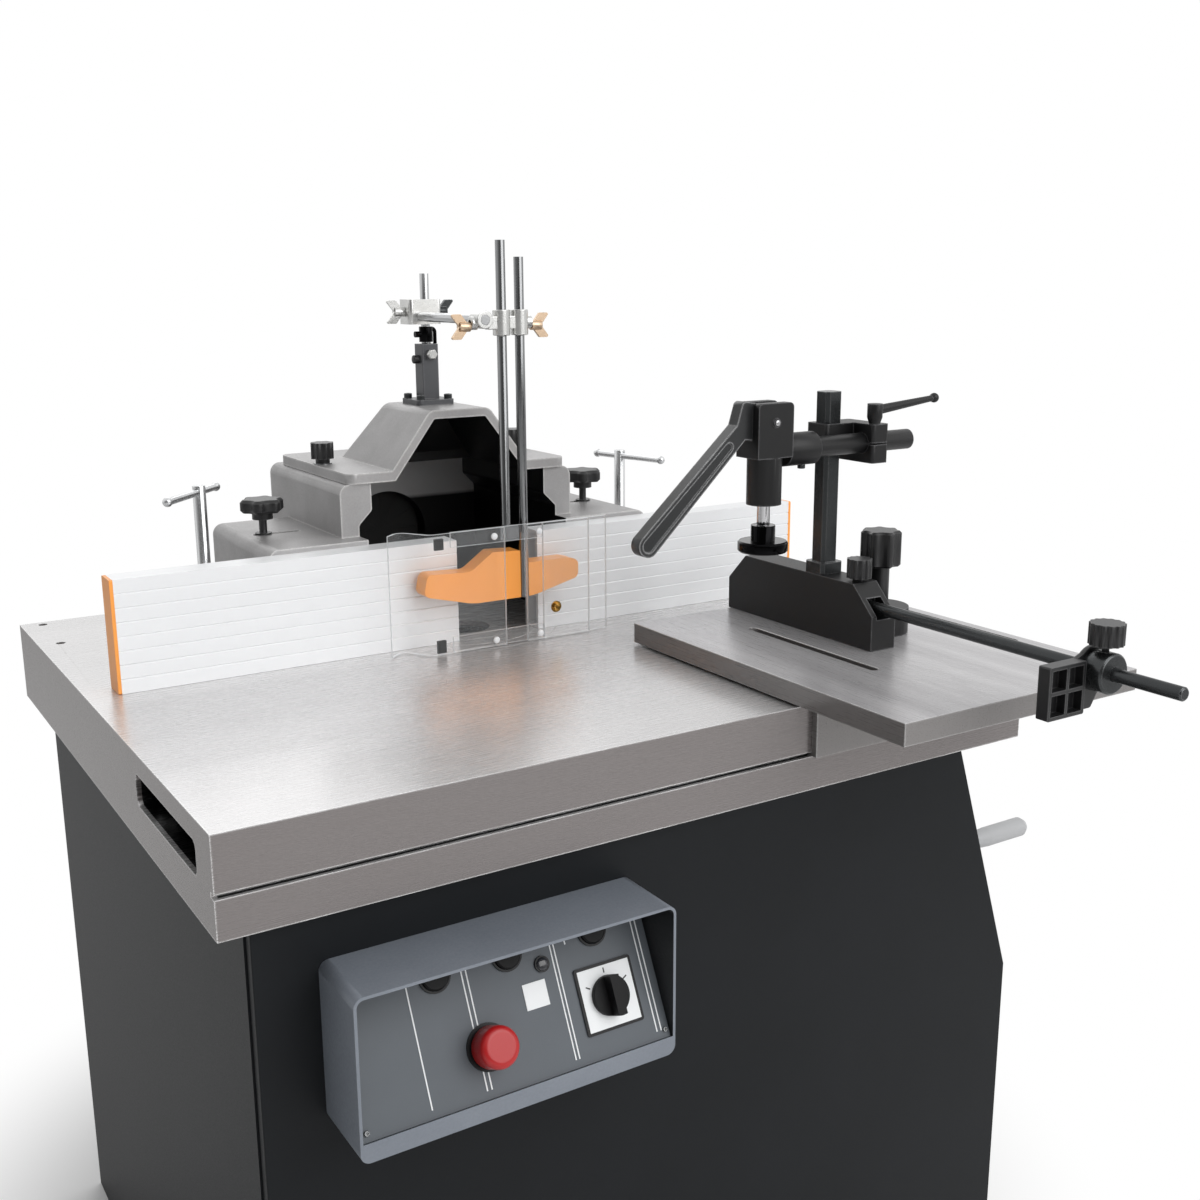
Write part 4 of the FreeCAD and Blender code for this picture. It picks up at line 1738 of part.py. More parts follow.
def cam_lever():
    """Eccentric lever: cam round the pin, a neck out of the yoke, a long handle with a hollowed face."""
    half = YOKE_SLOT / 2 - SLIDE
    y0, y1 = arm_y - half, arm_y + half
    angle = math.radians(LEVER_ARM_ANGLE)
    elbow = (head_x - LEVER_NECK, cam_z - LEVER_DIP)

    def blade(start, end, inset, y):
        """Handle outline between two stations along it, drawn in by inset."""
        stations = [(elbow[0] - r * math.cos(angle), elbow[1] - r * math.sin(angle)) for r in (start, end)]
        return strap(stations[0], LEVER_ARM_ROOT / 2 - inset, stations[1], LEVER_ARM_TIP / 2 - inset,
                     lambda u, v: vec(u, y, v))

    length = LEVER_ARM_LENGTH - LEVER_ARM_TIP / 2
    cam = bar_y(head_x, cam_z, y0, y1, CAM_R)
    root = LEVER_ARM_ROOT / 2
    neck = slab_xz([(head_x, cam_z + CAM_R, 0), (elbow[0], cam_z + CAM_R + LEVER_CROWN, LEVER_CROWN),
                    (elbow[0] - root, elbow[1], 0), (elbow[0], elbow[1] - root, 0),
                    (head_x - YOKE_WIDTH / 2 - FREE, cam_z - CAM_R, 0), (head_x, cam_z - CAM_R, 0)], y0, y1)
    handle = blade(0, length, 0, y0).extrude(vec(0, y1 - y0, 0))
    hollow = blade(LEVER_ARM_TIP, length, LEVER_RIM, y0).extrude(vec(0, LEVER_HOLLOW, 0))
    return cut(fuse(cam, neck, handle), hollow, bar_y(head_x, cam_z, y0, y1, CAM_PIN_R + RUN))


def plunger_rod():
    """Rod pushed down by the cam."""
    top = cam_z - CAM_R - PLUNGER_LIFT - FREE
    return bar_z(head_x, arm_y, barrel_foot - PLUNGER_SHOW - PAD_HUB / 2, top, PLUNGER_R)


def clamp_pad():
    """Pressure pad on the foot of the plunger."""
    hub_top = barrel_foot - PLUNGER_SHOW
    disc_top = hub_top - PAD_HUB
    foot = disc_top - PAD_DISC
    bevel = PAD_CHAMFER
    body = turned([(0, foot), (PAD_R - bevel, foot), (PAD_R, foot + bevel), (PAD_R, disc_top - bevel),
                   (PAD_R - bevel, disc_top), (PAD_HUB_R, disc_top), (PAD_HUB_R, hub_top), (0, hub_top)],
                  head_x, arm_y)
    return cut(body, bar_z(head_x, arm_y, hub_top - PAD_HUB / 2, hub_top, PLUNGER_R + RUN))


def plunger():
    return group(plunger_rod(), clamp_pad())


PIECES = {
    "cabinet_shell": cabinet_shell,
    "front_panel": front_panel,
    "control_housing": control_housing,
    "control_fascia": control_fascia,
    "button_left": lambda: push_button(BUTTON_SHARES[0]),
    "button_middle": lambda: push_button(BUTTON_SHARES[1]),
    "button_right": lambda: push_button(BUTTON_SHARES[2]),
    "selector_knob": selector_knob,
    "emergency_stop": emergency_stop,
    "table_casting": table_casting,
    "table_rings": table_rings,
    "lock_lever": lock_lever,
    "spindle_guide": spindle_guide,
    "quill": quill,
    "spindle": spindle,
    "drive_belt": drive_belt,
    "motor": motor,
    "motor_rotor": motor_rotor,
    "pinion_shaft": pinion_shaft,
    "handwheel": handwheel,
    "handwheel_grip": handwheel_grip,
    "hood_base": hood_base,
    "hood_lid": hood_lid,
    "lid_knob_left": lambda: lid_knob(-1),
    "lid_knob_right": lambda: lid_knob(1),
    "clamp_bolt_left": lambda: clamp_bolt(-1),
    "clamp_bolt_right": lambda: clamp_bolt(1),
    "fence_plate_left": fence_plate_left,
    "fence_plate_right": fence_plate_right,
    "end_cap_left": lambda: end_cap(-LEFT_PLATE_OUT),
    "end_cap_right": lambda: end_cap(RIGHT_PLATE_OUT - CAP_THICK),
    "star_knob_left": lambda: star_knob(-1),
    "star_knob_right": lambda: star_knob(1),
    "pressure_post": pressure_post,
    "post_rod": post_rod,
    "cross_clamp": cross_clamp,
    "cross_wing_left": lambda: cross_wing(-1),
    "cross_wing_right": lambda: cross_wing(1),
    "cross_rod": cross_rod,
    "double_clamp": double_clamp,
    "double_wing_left": lambda: double_wing(-1),
    "double_wing_right": lambda: double_wing(1),
    "guard_rod": guard_rod,
    "guard_sheet": guard_sheet,
    "shoe_rod": shoe_rod,
    "pressure_shoe": pressure_shoe,
    "sliding_plate": sliding_plate,
    "mitre_fence": mitre_fence,
    "lobed_knob": lobed_knob,
    "set_knob": set_knob,
    "stop_rod": stop_rod,
    "flip_stop": flip_stop,
    "stop_collar": stop_collar,
    "stop_knob": stop_knob,
    "clamp_post": clamp_post,
    "clamp_bracket": clamp_bracket,
    "ratchet_lever": ratchet_lever,
    "clamp_head": clamp_head,
    "cam_lever": cam_lever,
    "plunger": plunger,
}


def main():
    os.makedirs("parts", exist_ok=True)
    for name, make in PIECES.items():
        make().exportStep(f"parts/{name}.step")


main()
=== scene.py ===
"""Looks of a floor-standing spindle moulder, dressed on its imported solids.

X runs along the fence to the right, Y to the back and Z up, and the origin is on the floor under
the spindle. Sizes in this file are millimetres unless a name says otherwise.
"""
import logging
import math
from dataclasses import dataclass
from enum import Enum
from typing import Iterable, Sequence

import bmesh
import bpy
from mathutils import Matrix, Vector


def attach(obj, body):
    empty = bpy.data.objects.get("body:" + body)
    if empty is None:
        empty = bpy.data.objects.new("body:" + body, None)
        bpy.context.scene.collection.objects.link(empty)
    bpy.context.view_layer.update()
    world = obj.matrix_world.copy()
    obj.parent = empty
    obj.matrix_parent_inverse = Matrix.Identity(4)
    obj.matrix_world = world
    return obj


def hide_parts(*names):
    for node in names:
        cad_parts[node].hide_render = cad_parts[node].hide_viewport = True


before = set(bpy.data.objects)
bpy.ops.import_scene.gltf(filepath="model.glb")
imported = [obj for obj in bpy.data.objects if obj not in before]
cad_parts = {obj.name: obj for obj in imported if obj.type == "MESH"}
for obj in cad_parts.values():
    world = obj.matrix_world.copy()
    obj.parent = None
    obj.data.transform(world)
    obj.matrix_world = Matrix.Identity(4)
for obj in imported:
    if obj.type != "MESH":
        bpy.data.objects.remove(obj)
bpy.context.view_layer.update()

MM = 0.001
SHARP_EDGE = math.radians(38)
WELD = 0.01
LOG = logging.getLogger("spindle_moulder")
Socket = bpy.types.NodeSocket
Node = bpy.types.Node
Term = Socket | float | Sequence[float]
Outline = Sequence[tuple[float, float]]
Range = tuple[float, float]
UNIT: Range = (0.0, 1.0)
# The heights that most of a noise lies between.
NOISE_RANGE: Range = (0.25, 0.75)
# How the grain and the patches weigh when they mix a finish's two colours.
GRAIN_WEIGHT, PATCH_WEIGHT, PATCH_START = 0.6, 1.2, -0.4
# The cosine between the true and the rounded normal where the lighter edge, partly wear and partly painted
# highlight, starts and where it is full.
EDGE_COSINE: Range = (0.995, 0.9)
# The grain's heights between which the lighter edge, partly wear and partly painted highlight, grows from its
# least to full.
WEAR_AND_HIGHLIGHT_GRAIN: Range = (0.3, 0.6)
WEAR_AND_HIGHLIGHT_LEAST = 0.25
# The upward part of the normal between a side and a top.
TOP_COSINE: Range = (0.5, 0.9)


class Grain(Enum):
    """How the marks of a surface run, as the share of fineness along X, Y and Z."""

    EVEN = (1.0, 1.0, 1.0)
    ALONG_X = (0.03, 1.0, 1.0)
    ALONG_Y = (1.0, 0.03, 1.0)
    ALONG_Z = (1.0, 1.0, 0.03)
    ROUND_Z = (1.0, 1.0, 8.0)


def linear(code: str) -> tuple[float, float, float, float]:
    """Turn an sRGB hex code such as "#8a8886" into linear red, green, blue and alpha."""
    channels = [int(code[i:i + 2], 16) / 255 for i in (1, 3, 5)]
    bright = [c / 12.92 if c <= 0.04045 else ((c + 0.055) / 1.055) ** 2.4 for c in channels]
    return (bright[0], bright[1], bright[2], 1.0)


class Nodes:
    """The nodes of a material or of the world, with short ways to add to them."""

    def __init__(self, tree: bpy.types.NodeTree) -> None:
        """Take the tree that holds the nodes."""
        self.tree = tree

    def fill(self, node: Node, settings: dict, links: dict) -> Node:
        """Give a node its settings and links.

        Args:
            node: the node.
            settings: values by property name, or by socket name or number.
            links: output sockets by the name or number of the input that they feed.

        Returns:
            The node.
        """
        for key, value in settings.items():
            if isinstance(key, str) and hasattr(node, key):
                setattr(node, key, value)
            else:
                node.inputs[key].default_value = value
        for key, source in links.items():
            self.tree.links.new(source, node.inputs[key])
        return node

    def add(self, kind: str, settings: dict | None = None, links: dict | None = None) -> Node:
        """Add a node of a kind, named without the ShaderNode in front, and fill it."""
        return self.fill(self.tree.nodes.new("ShaderNode" + kind), settings or {}, links or {})

    def shader(self, settings: dict, links: dict) -> Node:
        """Fill the principled shader that a material starts with."""
        return self.fill(self.tree.nodes["Principled BSDF"], settings, links)

    def work(self, kind: str, operation: str, terms: Sequence[Term]) -> Node:
        """Add a node that works on terms, which are sockets or fixed values in the order of its inputs."""
        fixed = {i: term for i, term in enumerate(terms) if not isinstance(term, Socket)}
        links = {i: term for i, term in enumerate(terms) if isinstance(term, Socket)}
        return self.add(kind, {"operation": operation, **fixed}, links)

    def math(self, operation: str, *terms: Term) -> Socket:
        """Work a number out of numbers."""
        return self.work("Math", operation, terms).outputs[0]

    def vector(self, operation: str, *terms: Term) -> Socket:
        """Work a vector out of vectors."""
        return self.work("VectorMath", operation, terms).outputs[0]

    def measure(self, operation: str, *terms: Term) -> Socket:
        """Work a number out of vectors, such as a length."""
        return self.work("VectorMath", operation, terms).outputs["Value"]

    def ramp(self, value: Socket, source: Range, target: Range = UNIT, curve: str = "LINEAR") -> Socket:
        """Carry one range of a number over to another, without going past its ends.

        Args:
            value: the number.
            source: where the range starts and ends.
            target: what the number becomes there.
            curve: how it runs in between.

        Returns:
            The new number.
        """
        ends = dict(enumerate((*source, *target), start=1))
        return self.add("MapRange", {"interpolation_type": curve, **ends}, {0: value}).outputs[0]

    def blend(self, share: Socket, first: Socket | str, second: Socket | str) -> Socket:
        """Mix two colours, each a socket or an sRGB hex code, by the share of the second."""
        pair = {6: first, 7: second}
        fixed = {i: linear(colour) for i, colour in pair.items() if isinstance(colour, str)}
        links = {i: colour for i, colour in pair.items() if i not in fixed}
        return self.add("Mix", {"data_type": "RGBA", **fixed}, {0: share, **links}).outputs[2]

    def parts(self, vector: Socket) -> list[Socket]:
        """Split a vector into its X, Y and Z."""
        return list(self.add("SeparateXYZ", links={0: vector}).outputs)

    def facing(self) -> list[Socket]:
        """Give X, Y and Z of the direction in which the face looks."""
        return self.parts(self.add("NewGeometry").outputs["True Normal"])

    def place(self) -> Socket:
        """Give the point on the piece, in metres."""
        return self.add("TexCoord").outputs["Object"]

    def seen(self) -> Socket:
        """Give 1 for the camera's rays, straight or through a clear sheet, and 0 for all others."""
        path = self.add("LightPath").outputs
        return self.math("MAXIMUM", path["Is Camera Ray"], path["Is Transmission Ray"])

    def off_axis(self, place: Socket, axis: Sequence[float], across: Sequence[float]) -> Socket:
        """Give the distance from an axis.

        Args:
            place: the point on the piece, in metres.
            axis: a point on the axis.
            across: 1 for the directions across the axis and 0 for the one along it.

        Returns:
            The distance, in metres.
        """
        arm = self.vector("SUBTRACT", place, [v * MM for v in axis])
        return self.measure("LENGTH", self.vector("MULTIPLY", arm, across))


@dataclass(frozen=True)
class Look:
    """What a surface looks like."""

    name: str

    def wire(self, nodes: Nodes) -> None:
        """Set up the material's nodes, which each kind of look does in its own way."""
        raise NotImplementedError

    def material(self) -> bpy.types.Material:
        """Give the material, made on first use."""
        made = bpy.data.materials.get(self.name)
        if made is None:
            made = bpy.data.materials.new(self.name)
            made.use_nodes = True
            self.wire(Nodes(made.node_tree))
        return made


@dataclass(frozen=True)
class Finish(Look):
    """A solid finish: two close colours that a grain and soft patches mix, over a fine relief."""

    slot: str
    colour: str
    shade: str
    metallic: float
    roughness: float
    spread: float
    grain: float
    relief: float
    run: Grain = Grain.EVEN
    patch: float = 140.0
    coat: float = 0.0
    specular: float = 0.5
    # The lighter colour and width of the edges: partly wear, partly painted highlight.
    edge_wear_and_highlight: str = ""
    wear_and_highlight_width: float = 3.0

    def tint(self, nodes: Nodes, place: Socket, colour: Socket) -> Socket:
        """Colour by place on the piece; a plain finish has one colour all over.

        Args:
            nodes: the material's nodes.
            place: the point on the piece, in metres.
            colour: the mixed colour so far.

        Returns:
            The colour to use.
        """
        return colour

    def marks(self, nodes: Nodes, place: Socket, size: float) -> Socket:
        """Give the height, from 0 to 1, of marks of a width that run the way the surface was worked."""
        fineness = [share / (size * MM) for share in self.run.value]
        stretched = nodes.add("Mapping", {"Scale": fineness}, {"Vector": place}).outputs[0]
        return nodes.add("TexNoise", {"Scale": 1.0, "Detail": 4.0, "Roughness": 0.6},
                         {"Vector": stretched}).outputs[0]

    def rub_and_highlight_edges(self, nodes: Nodes, grain: Socket, colour: Socket) -> Socket:
        """Lighten the colour along the edges, more where the grain stands high: partly wear, partly a painted
        highlight where the edges catch the light.
        """
        if not self.edge_wear_and_highlight:
            return colour
        soft = nodes.add("Bevel", {"samples": 4, "Radius": self.wear_and_highlight_width * MM}).outputs[0]
        sharp = nodes.add("NewGeometry").outputs["Normal"]
        edge = nodes.ramp(nodes.measure("DOT_PRODUCT", soft, sharp), EDGE_COSINE)
        high = nodes.ramp(grain, WEAR_AND_HIGHLIGHT_GRAIN, (WEAR_AND_HIGHLIGHT_LEAST, 1.0))
        return nodes.blend(nodes.math("MULTIPLY", edge, high), colour, self.edge_wear_and_highlight)

    def paint(self, nodes: Nodes, place: Socket, grain: Socket, colour: Socket) -> Socket:
        """Colour by place first and lighten the edges with wear and painted highlight after it."""
        return self.rub_and_highlight_edges(nodes, grain, self.tint(nodes, place, colour))

    def wire(self, nodes: Nodes) -> None:
        """Set up the colour, roughness and relief of the finish."""
        place = nodes.place()
        grain = self.marks(nodes, place, self.grain)
        cloud = nodes.math("MULTIPLY_ADD", self.marks(nodes, place, self.patch), PATCH_WEIGHT, PATCH_START)
        share = nodes.math("MULTIPLY_ADD", grain, GRAIN_WEIGHT, cloud)
        colour = self.paint(nodes, place, grain, nodes.blend(share, self.colour, self.shade))
        rough = nodes.ramp(grain, NOISE_RANGE, (self.roughness - self.spread, self.roughness + self.spread))
        bump = nodes.add("Bump", {"Strength": 1.0, "Distance": self.relief * MM}, {"Height": grain})
        nodes.shader({"Metallic": self.metallic, "Coat Weight": self.coat,
                      "Specular IOR Level": self.specular},
                     {"Base Color": colour, "Roughness": rough, "Normal": bump.outputs[0]})


@dataclass(frozen=True)
class GroundIron(Finish):
    """Cast iron ground on top and milled at its sides; every face that doesn't look up gets a darker colour
    as painted shade.
    """

    # The sides' colour: the milled iron darkened as painted shade.
    side: str = "#7f7a79"

    def tint(self, nodes: Nodes, place: Socket, colour: Socket) -> Socket:
        """Mix in the sides' darker colour, painted shade, wherever the face doesn't look up."""
        return nodes.blend(nodes.ramp(nodes.facing()[2], TOP_COSINE), self.side, colour)


@dataclass(frozen=True)
class TableIron(GroundIron):
    """Ground iron of the table; its pockets, slot and groove are painted black as painted shade."""

    recess_shade: str = "#161617"
    low: tuple[float, float, float] = (-495.0, -516.0, 0.0)
    high: tuple[float, float, float] = (495.0, 334.0, 862.0)

    def tint(self, nodes: Nodes, place: Socket, colour: Socket) -> Socket:
        """Paint black, as painted shade, what lies inside the casting's outer walls."""
        ground = super().tint(nodes, place, colour)
        above = nodes.vector("SUBTRACT", place, [v * MM for v in self.low])
        below = nodes.vector("SUBTRACT", [v * MM for v in self.high], place)
        x, y, z = nodes.parts(nodes.vector("MINIMUM", above, below))
        depth = nodes.math("MINIMUM", nodes.math("MINIMUM", x, y), z)
        return nodes.blend(nodes.math("GREATER_THAN", depth, 0.0), ground, self.recess_shade)


@dataclass(frozen=True)
class VisorPaint(Finish):
    """Hammer paint on the outside of the control box; the inner sides of its cheeks get painted shade in
    black.
    """

    # Painted shade for the inner sides of the cheeks.
    inside: str = "#17181a"
    middle: float = -236.0
    apart: float = 50.0

    def tint(self, nodes: Nodes, place: Socket, colour: Socket) -> Socket:
        """Paint shade in black on the faces that look towards the middle of the box from some way apart."""
        offset = nodes.math("SUBTRACT", nodes.parts(place)[0], self.middle * MM)
        inward = nodes.math("MULTIPLY", offset, nodes.facing()[0])
        return nodes.blend(nodes.math("LESS_THAN", inward, -self.apart * MM), colour, self.inside)


@dataclass(frozen=True)
class HoodPaint(Finish):
    """Silver-grey hammer paint outside; the chip chamber and the dust spout's bore get painted shade in
    black.

    A band across the chamber's back wall keeps the silver paint, paler than the painted shade around it.
    """

    # Painted shade for the chamber and bore, and the silver paint of the band on the back wall.
    inside: str = "#0a0a0b"
    band_paint: str = "#b4b4b4"
    half_width: float = 144.0
    inset: float = 4.0
    front: float = 40.0
    back: float = 240.5
    roof_cosine: float = -0.3
    wall_cosine: float = -0.5
    band_foot: float = 1008.0
    band_fade: float = 6.0
    band_top: float = 1062.0
    spout_z: float = 962.0
    spout_r: float = 61.0

    def paint(self, nodes: Nodes, place: Socket, grain: Socket, colour: Socket) -> Socket:
        """Lighten the edges with wear and painted highlight first, so that the chamber's painted shade keeps
        none of it.
        """
        return self.tint(nodes, place, self.rub_and_highlight_edges(nodes, grain, colour))

    def tint(self, nodes: Nodes, place: Socket, colour: Socket) -> Socket:
        """Paint shade in black on what lies inside the chamber and looks into it, and leave a band of the
        back wall in the silver paint.
        """
        across, back, up = nodes.parts(place)
        look_x, look_y, look_z = nodes.facing()
        side = nodes.math("LESS_THAN", nodes.math("MULTIPLY", across, look_x), -self.inset * MM)
        roof = nodes.math("LESS_THAN", look_z, self.roof_cosine)
        deep = nodes.math("GREATER_THAN", back, self.front * MM)
        wall = nodes.math("MULTIPLY", nodes.math("LESS_THAN", look_y, self.wall_cosine), deep)
        walls = nodes.math("MAXIMUM", nodes.math("MAXIMUM", side, roof), wall)
        within = nodes.math("LESS_THAN", nodes.math("ABSOLUTE", across), self.half_width * MM)
        room = nodes.math("MULTIPLY", within, nodes.math("LESS_THAN", back, self.back * MM))
        reach = nodes.off_axis(place, (0.0, 0.0, self.spout_z), (1.0, 0.0, 1.0))
        bore = nodes.math("MULTIPLY", nodes.math("LESS_THAN", reach, self.spout_r * MM), deep)
        black = nodes.math("MAXIMUM", nodes.math("MULTIPLY", walls, room), bore)
        high = nodes.ramp(up, (self.band_foot * MM, (self.band_foot + self.band_fade) * MM))
        band = nodes.math("MULTIPLY", high, nodes.math("LESS_THAN", up, self.band_top * MM))
        dark = nodes.blend(nodes.math("MULTIPLY", band, wall), self.inside, self.band_paint)
        return nodes.blend(black, colour, dark)


@dataclass(frozen=True)
class TwoToneRound(Finish):
    """One colour near an upright axis and another further out, as on a plated rod in a black collar."""

    outer: str = "#141415"
    axis: tuple[float, float] = (0.0, 0.0)
    reach: float = 6.4

    def tint(self, nodes: Nodes, place: Socket, colour: Socket) -> Socket:
        """Change the colour beyond the reach from the axis."""
        far = nodes.off_axis(place, (*self.axis, 0.0), (1.0, 1.0, 0.0))
        return nodes.blend(nodes.math("GREATER_THAN", far, self.reach * MM), colour, self.outer)


@dataclass(frozen=True)
class FasciaFilm(Finish):
    """Grey film on the sloped control plate; the collars of the controls stand proud of it in black."""

    collar: str = "#151517"
    pivot: tuple[float, float] = (-516.0, 718.0)
    tilt: float = 26.5
    proud: float = 0.6

    def tint(self, nodes: Nodes, place: Socket, colour: Socket) -> Socket:
        """Turn black what stands proud of the plate."""
        lean = math.radians(self.tilt)
        arm = nodes.vector("SUBTRACT", place, [v * MM for v in (0.0, *self.pivot)])
        height = nodes.measure("DOT_PRODUCT", arm, (0.0, -math.cos(lean), math.sin(lean)))
        return nodes.blend(nodes.math("GREATER_THAN", height, self.proud * MM), colour, self.collar)


@dataclass(frozen=True)
class ClearSheet(Look):
    """Polycarbonate sheet: clear faces with a faint haze, and sawn edges that gather light."""

    name: str = "clear_polycarbonate"
    slot: str = "clear_sheet"
    tone: str = "#f6f9fb"
    haze: Range = (0.027, 0.063)
    sawn_cosine: float = 0.97
    edge: float = 0.72
    roughness: float = 0.06
    edge_roughness: float = 0.5
    scratch: float = 60.0
    ior: float = 1.58

    def wire(self, nodes: Nodes) -> None:
        """Set up the clear faces and, on whatever looks up, down or sideways, the sawn edges."""
        noise = nodes.add("TexNoise", {"Scale": 1 / (self.scratch * MM), "Detail": 4.0},
                          {"Vector": nodes.place()}).outputs[0]
        look_x, _, look_z = nodes.facing()
        square = nodes.math("MAXIMUM", nodes.math("ABSOLUTE", look_z), nodes.math("ABSOLUTE", look_x))
        sawn = nodes.math("GREATER_THAN", square, self.sawn_cosine)
        face = nodes.ramp(noise, UNIT, self.haze)
        alpha = nodes.add("Mix", {3: self.edge}, {0: sawn, 2: face}).outputs[0]
        rough = nodes.ramp(sawn, UNIT, (self.roughness, self.edge_roughness))
        nodes.shader({"Base Color": linear(self.tone), "IOR": self.ior}, {"Alpha": alpha, "Roughness": rough})


@dataclass(frozen=True)
class StudioPaper(Look):
    """Matt white paper under the machine, which keeps its shadow near it and fades to white."""

    name: str = "studio_paper"
    tone: str = "#f4f4f4"
    roughness: float = 0.9
    specular: float = 0.1
    fade_m: Range = (0.5, 0.95)

    def wire(self, nodes: Nodes) -> None:
        """Set up the matt paper and the white that it fades to."""
        shader = nodes.shader({"Base Color": linear(self.tone), "Roughness": self.roughness,
                               "Specular IOR Level": self.specular}, {})
        fade = nodes.ramp(nodes.measure("LENGTH", nodes.place()), self.fade_m, curve="SMOOTHSTEP")
        white = nodes.math("MULTIPLY", fade, nodes.seen())
        glow = nodes.add("Emission", {"Strength": 1.0}).outputs[0]
        mixed = nodes.add("MixShader", links={0: white, 1: shader.outputs[0], 2: glow}).outputs[0]
        nodes.tree.links.new(mixed, nodes.tree.nodes["Material Output"].inputs["Surface"])


AnyFinish = Finish | ClearSheet

# The numbers after a finish's two colours are metallic, roughness, its spread, grain width and relief.

# Powder coat has a fine orange peel that breaks up its soft reflections.
CABINET_COAT = Finish("powder_coat_slate", "cabinet_paint", "#1b1d20", "#16181a", 0.0, 0.46, 0.06, 1.4, 0.03,
                      specular=0.15)
# Hammer paint dries in small dimples, so its gloss sparkles.
HOUSING_COAT = VisorPaint("hammer_paint_blue_grey", "housing_paint", "#858b94", "#6f757e", 0.1, 0.4, 0.08,
                          2.6, 0.06)
# Screen film on the control plate: even satin grey, darkened as painted shade from the visor above it.
FASCIA_FILM = FasciaFilm("polyester_film_grey", "fascia_grey", "#5f646a", "#54595e", 0.0, 0.45, 0.04, 0.8,
                         0.01, specular=0.3)
# A surface grinder leaves long fine streaks along the table, which stretch the reflections. Its edges get a
# painted highlight with some wear.
TABLE_IRON = TableIron("ground_cast_iron", "ground_iron", "#dbdada", "#cac9c9", 0.5, 0.27, 0.06, 1.2, 0.004,
                       Grain.ALONG_X, 90.0, edge_wear_and_highlight="#f6f6f6", wear_and_highlight_width=2.4)
# The plate's streaks run along its length from grinding; their strong light and dark bands are painted
# reflection.
PLATE_IRON = GroundIron("ground_plate_iron", "ground_iron", "#dddcdd", "#a09ea0", 0.45, 0.3, 0.07, 1.2,
                        0.004, Grain.ALONG_Y, 45.0, side="#827f7e", edge_wear_and_highlight="#e4e4e4", wear_and_highlight_width=1.8)
# Silver hammer paint on cast iron: fine metal flake, lighter along the edges, partly rubbed and partly
# painted highlight.
HOOD_PAINT = HoodPaint("hammer_paint_silver", "hood_paint", "#b4b3b3", "#949292", 0.35, 0.42, 0.08, 2.2,
                       0.06, patch=60.0, edge_wear_and_highlight="#e2e1df", wear_and_highlight_width=4.0)
# Extruded aluminium shows die lines along its length under a white satin anodising.
EXTRUSION = Finish("satin_anodised_aluminium", "fence_aluminium", "#f6f7f8", "#ebecee", 0.15, 0.36, 0.05, 0.8,
                   0.004, Grain.ALONG_X, 200.0)
# Injection-moulded ABS: even colour with a faint sheen.
ORANGE_ABS = Finish("moulded_abs_orange", "orange_plastic", "#ffae54", "#ffa146", 0.0, 0.38, 0.05, 0.9, 0.012)
# Drawn bar, zinc plated: long bright reflections.
ZINC_BAR = Finish("bright_zinc_bar", "zinc_steel", "#9b9c9d", "#767778", 1.0, 0.2, 0.06, 0.7, 0.004,
                  Grain.ALONG_Z)
ZINC_BOLT = Finish("bright_zinc_bolt", "zinc_steel", "#e2e3e4", "#cbcccd", 1.0, 0.26, 0.06, 0.7, 0.004,
                   Grain.ALONG_Z)
ZINC_CROSS = Finish("bright_zinc_cross_bar", "zinc_steel", "#cccdce", "#b6b7b8", 1.0, 0.2, 0.06, 0.7, 0.004,
                    Grain.ALONG_Y)
POST_BAR = TwoToneRound("bright_zinc_post_bar", "zinc_steel", "#cccdce", "#b6b7b8", 1.0, 0.22, 0.05, 0.7,
                        0.004, Grain.ALONG_Z, axis=(0.0, 85.0))
# Tumbled zinc casting: bright, with a soft pebbled skin.
ZINC_CASTING = Finish("tumbled_zinc_casting", "zinc_casting", "#dededc", "#c6c6c4", 1.0, 0.3, 0.08, 1.1, 0.03)
# Yellow passivation over zinc has a warm iridescent cast.
YELLOW_ZINC = Finish("passivated_yellow_zinc", "brass_zinc", "#d6bfa6", "#bda184", 1.0, 0.32, 0.08, 1.0, 0.02)
# Turned brass keeps fine rings from the lathe.
BRASS = Finish("turned_brass", "brass_zinc", "#c9a45c", "#a9803c", 1.0, 0.25, 0.05, 0.5, 0.01, Grain.ROUND_Z)
# Phenolic knobs have a spark-eroded grain; their edges are lighter, partly polished where hands hold them and
# partly painted highlight.
BLACK_PHENOLIC = Finish("moulded_phenolic_black", "black_plastic", "#1f1f20", "#161617", 0.0, 0.36, 0.07, 0.8,
                        0.03, edge_wear_and_highlight="#565657", wear_and_highlight_width=2.0)
# The controls are matt, so that a light doesn't dazzle on them.
CONTROL_BLACK = Finish("matt_control_black", "black_plastic", "#121213", "#0d0d0e", 0.0, 0.5, 0.05, 0.8, 0.02,
                       specular=0.2)
# Blackened steel keeps a thin oily sheen.
BLACK_OXIDE = Finish("black_oxide_steel", "black_steel", "#4c4e4f", "#343637", 0.8, 0.27, 0.07, 0.7, 0.015,
                     edge_wear_and_highlight="#9a9b9c", wear_and_highlight_width=1.6)
# Black powder over sand-cast iron: matt and pebbled, greyer along the edges, partly wear and partly painted
# highlight.
BLACK_CASTING = Finish("textured_black_casting", "black_steel", "#141415", "#0e0e0f", 0.0, 0.42, 0.08, 1.5,
                       0.06, specular=0.35, edge_wear_and_highlight="#6c6c6e", wear_and_highlight_width=2.4)
# The lever is die cast and painted, with a painted highlight along its rim.
LEVER_CASTING = Finish("die_cast_lever_grey", "black_steel", "#323334", "#262728", 0.2, 0.32, 0.07, 1.1, 0.03,
                       edge_wear_and_highlight="#b4b4b5", wear_and_highlight_width=3.0)
# Satin paint over a steel post.
POST_PAINT = Finish("satin_grey_post", "housing_paint", "#5a5b5e", "#4c4d50", 0.2, 0.4, 0.06, 1.2, 0.02,
                    edge_wear_and_highlight="#8c8c8d", wear_and_highlight_width=2.0)
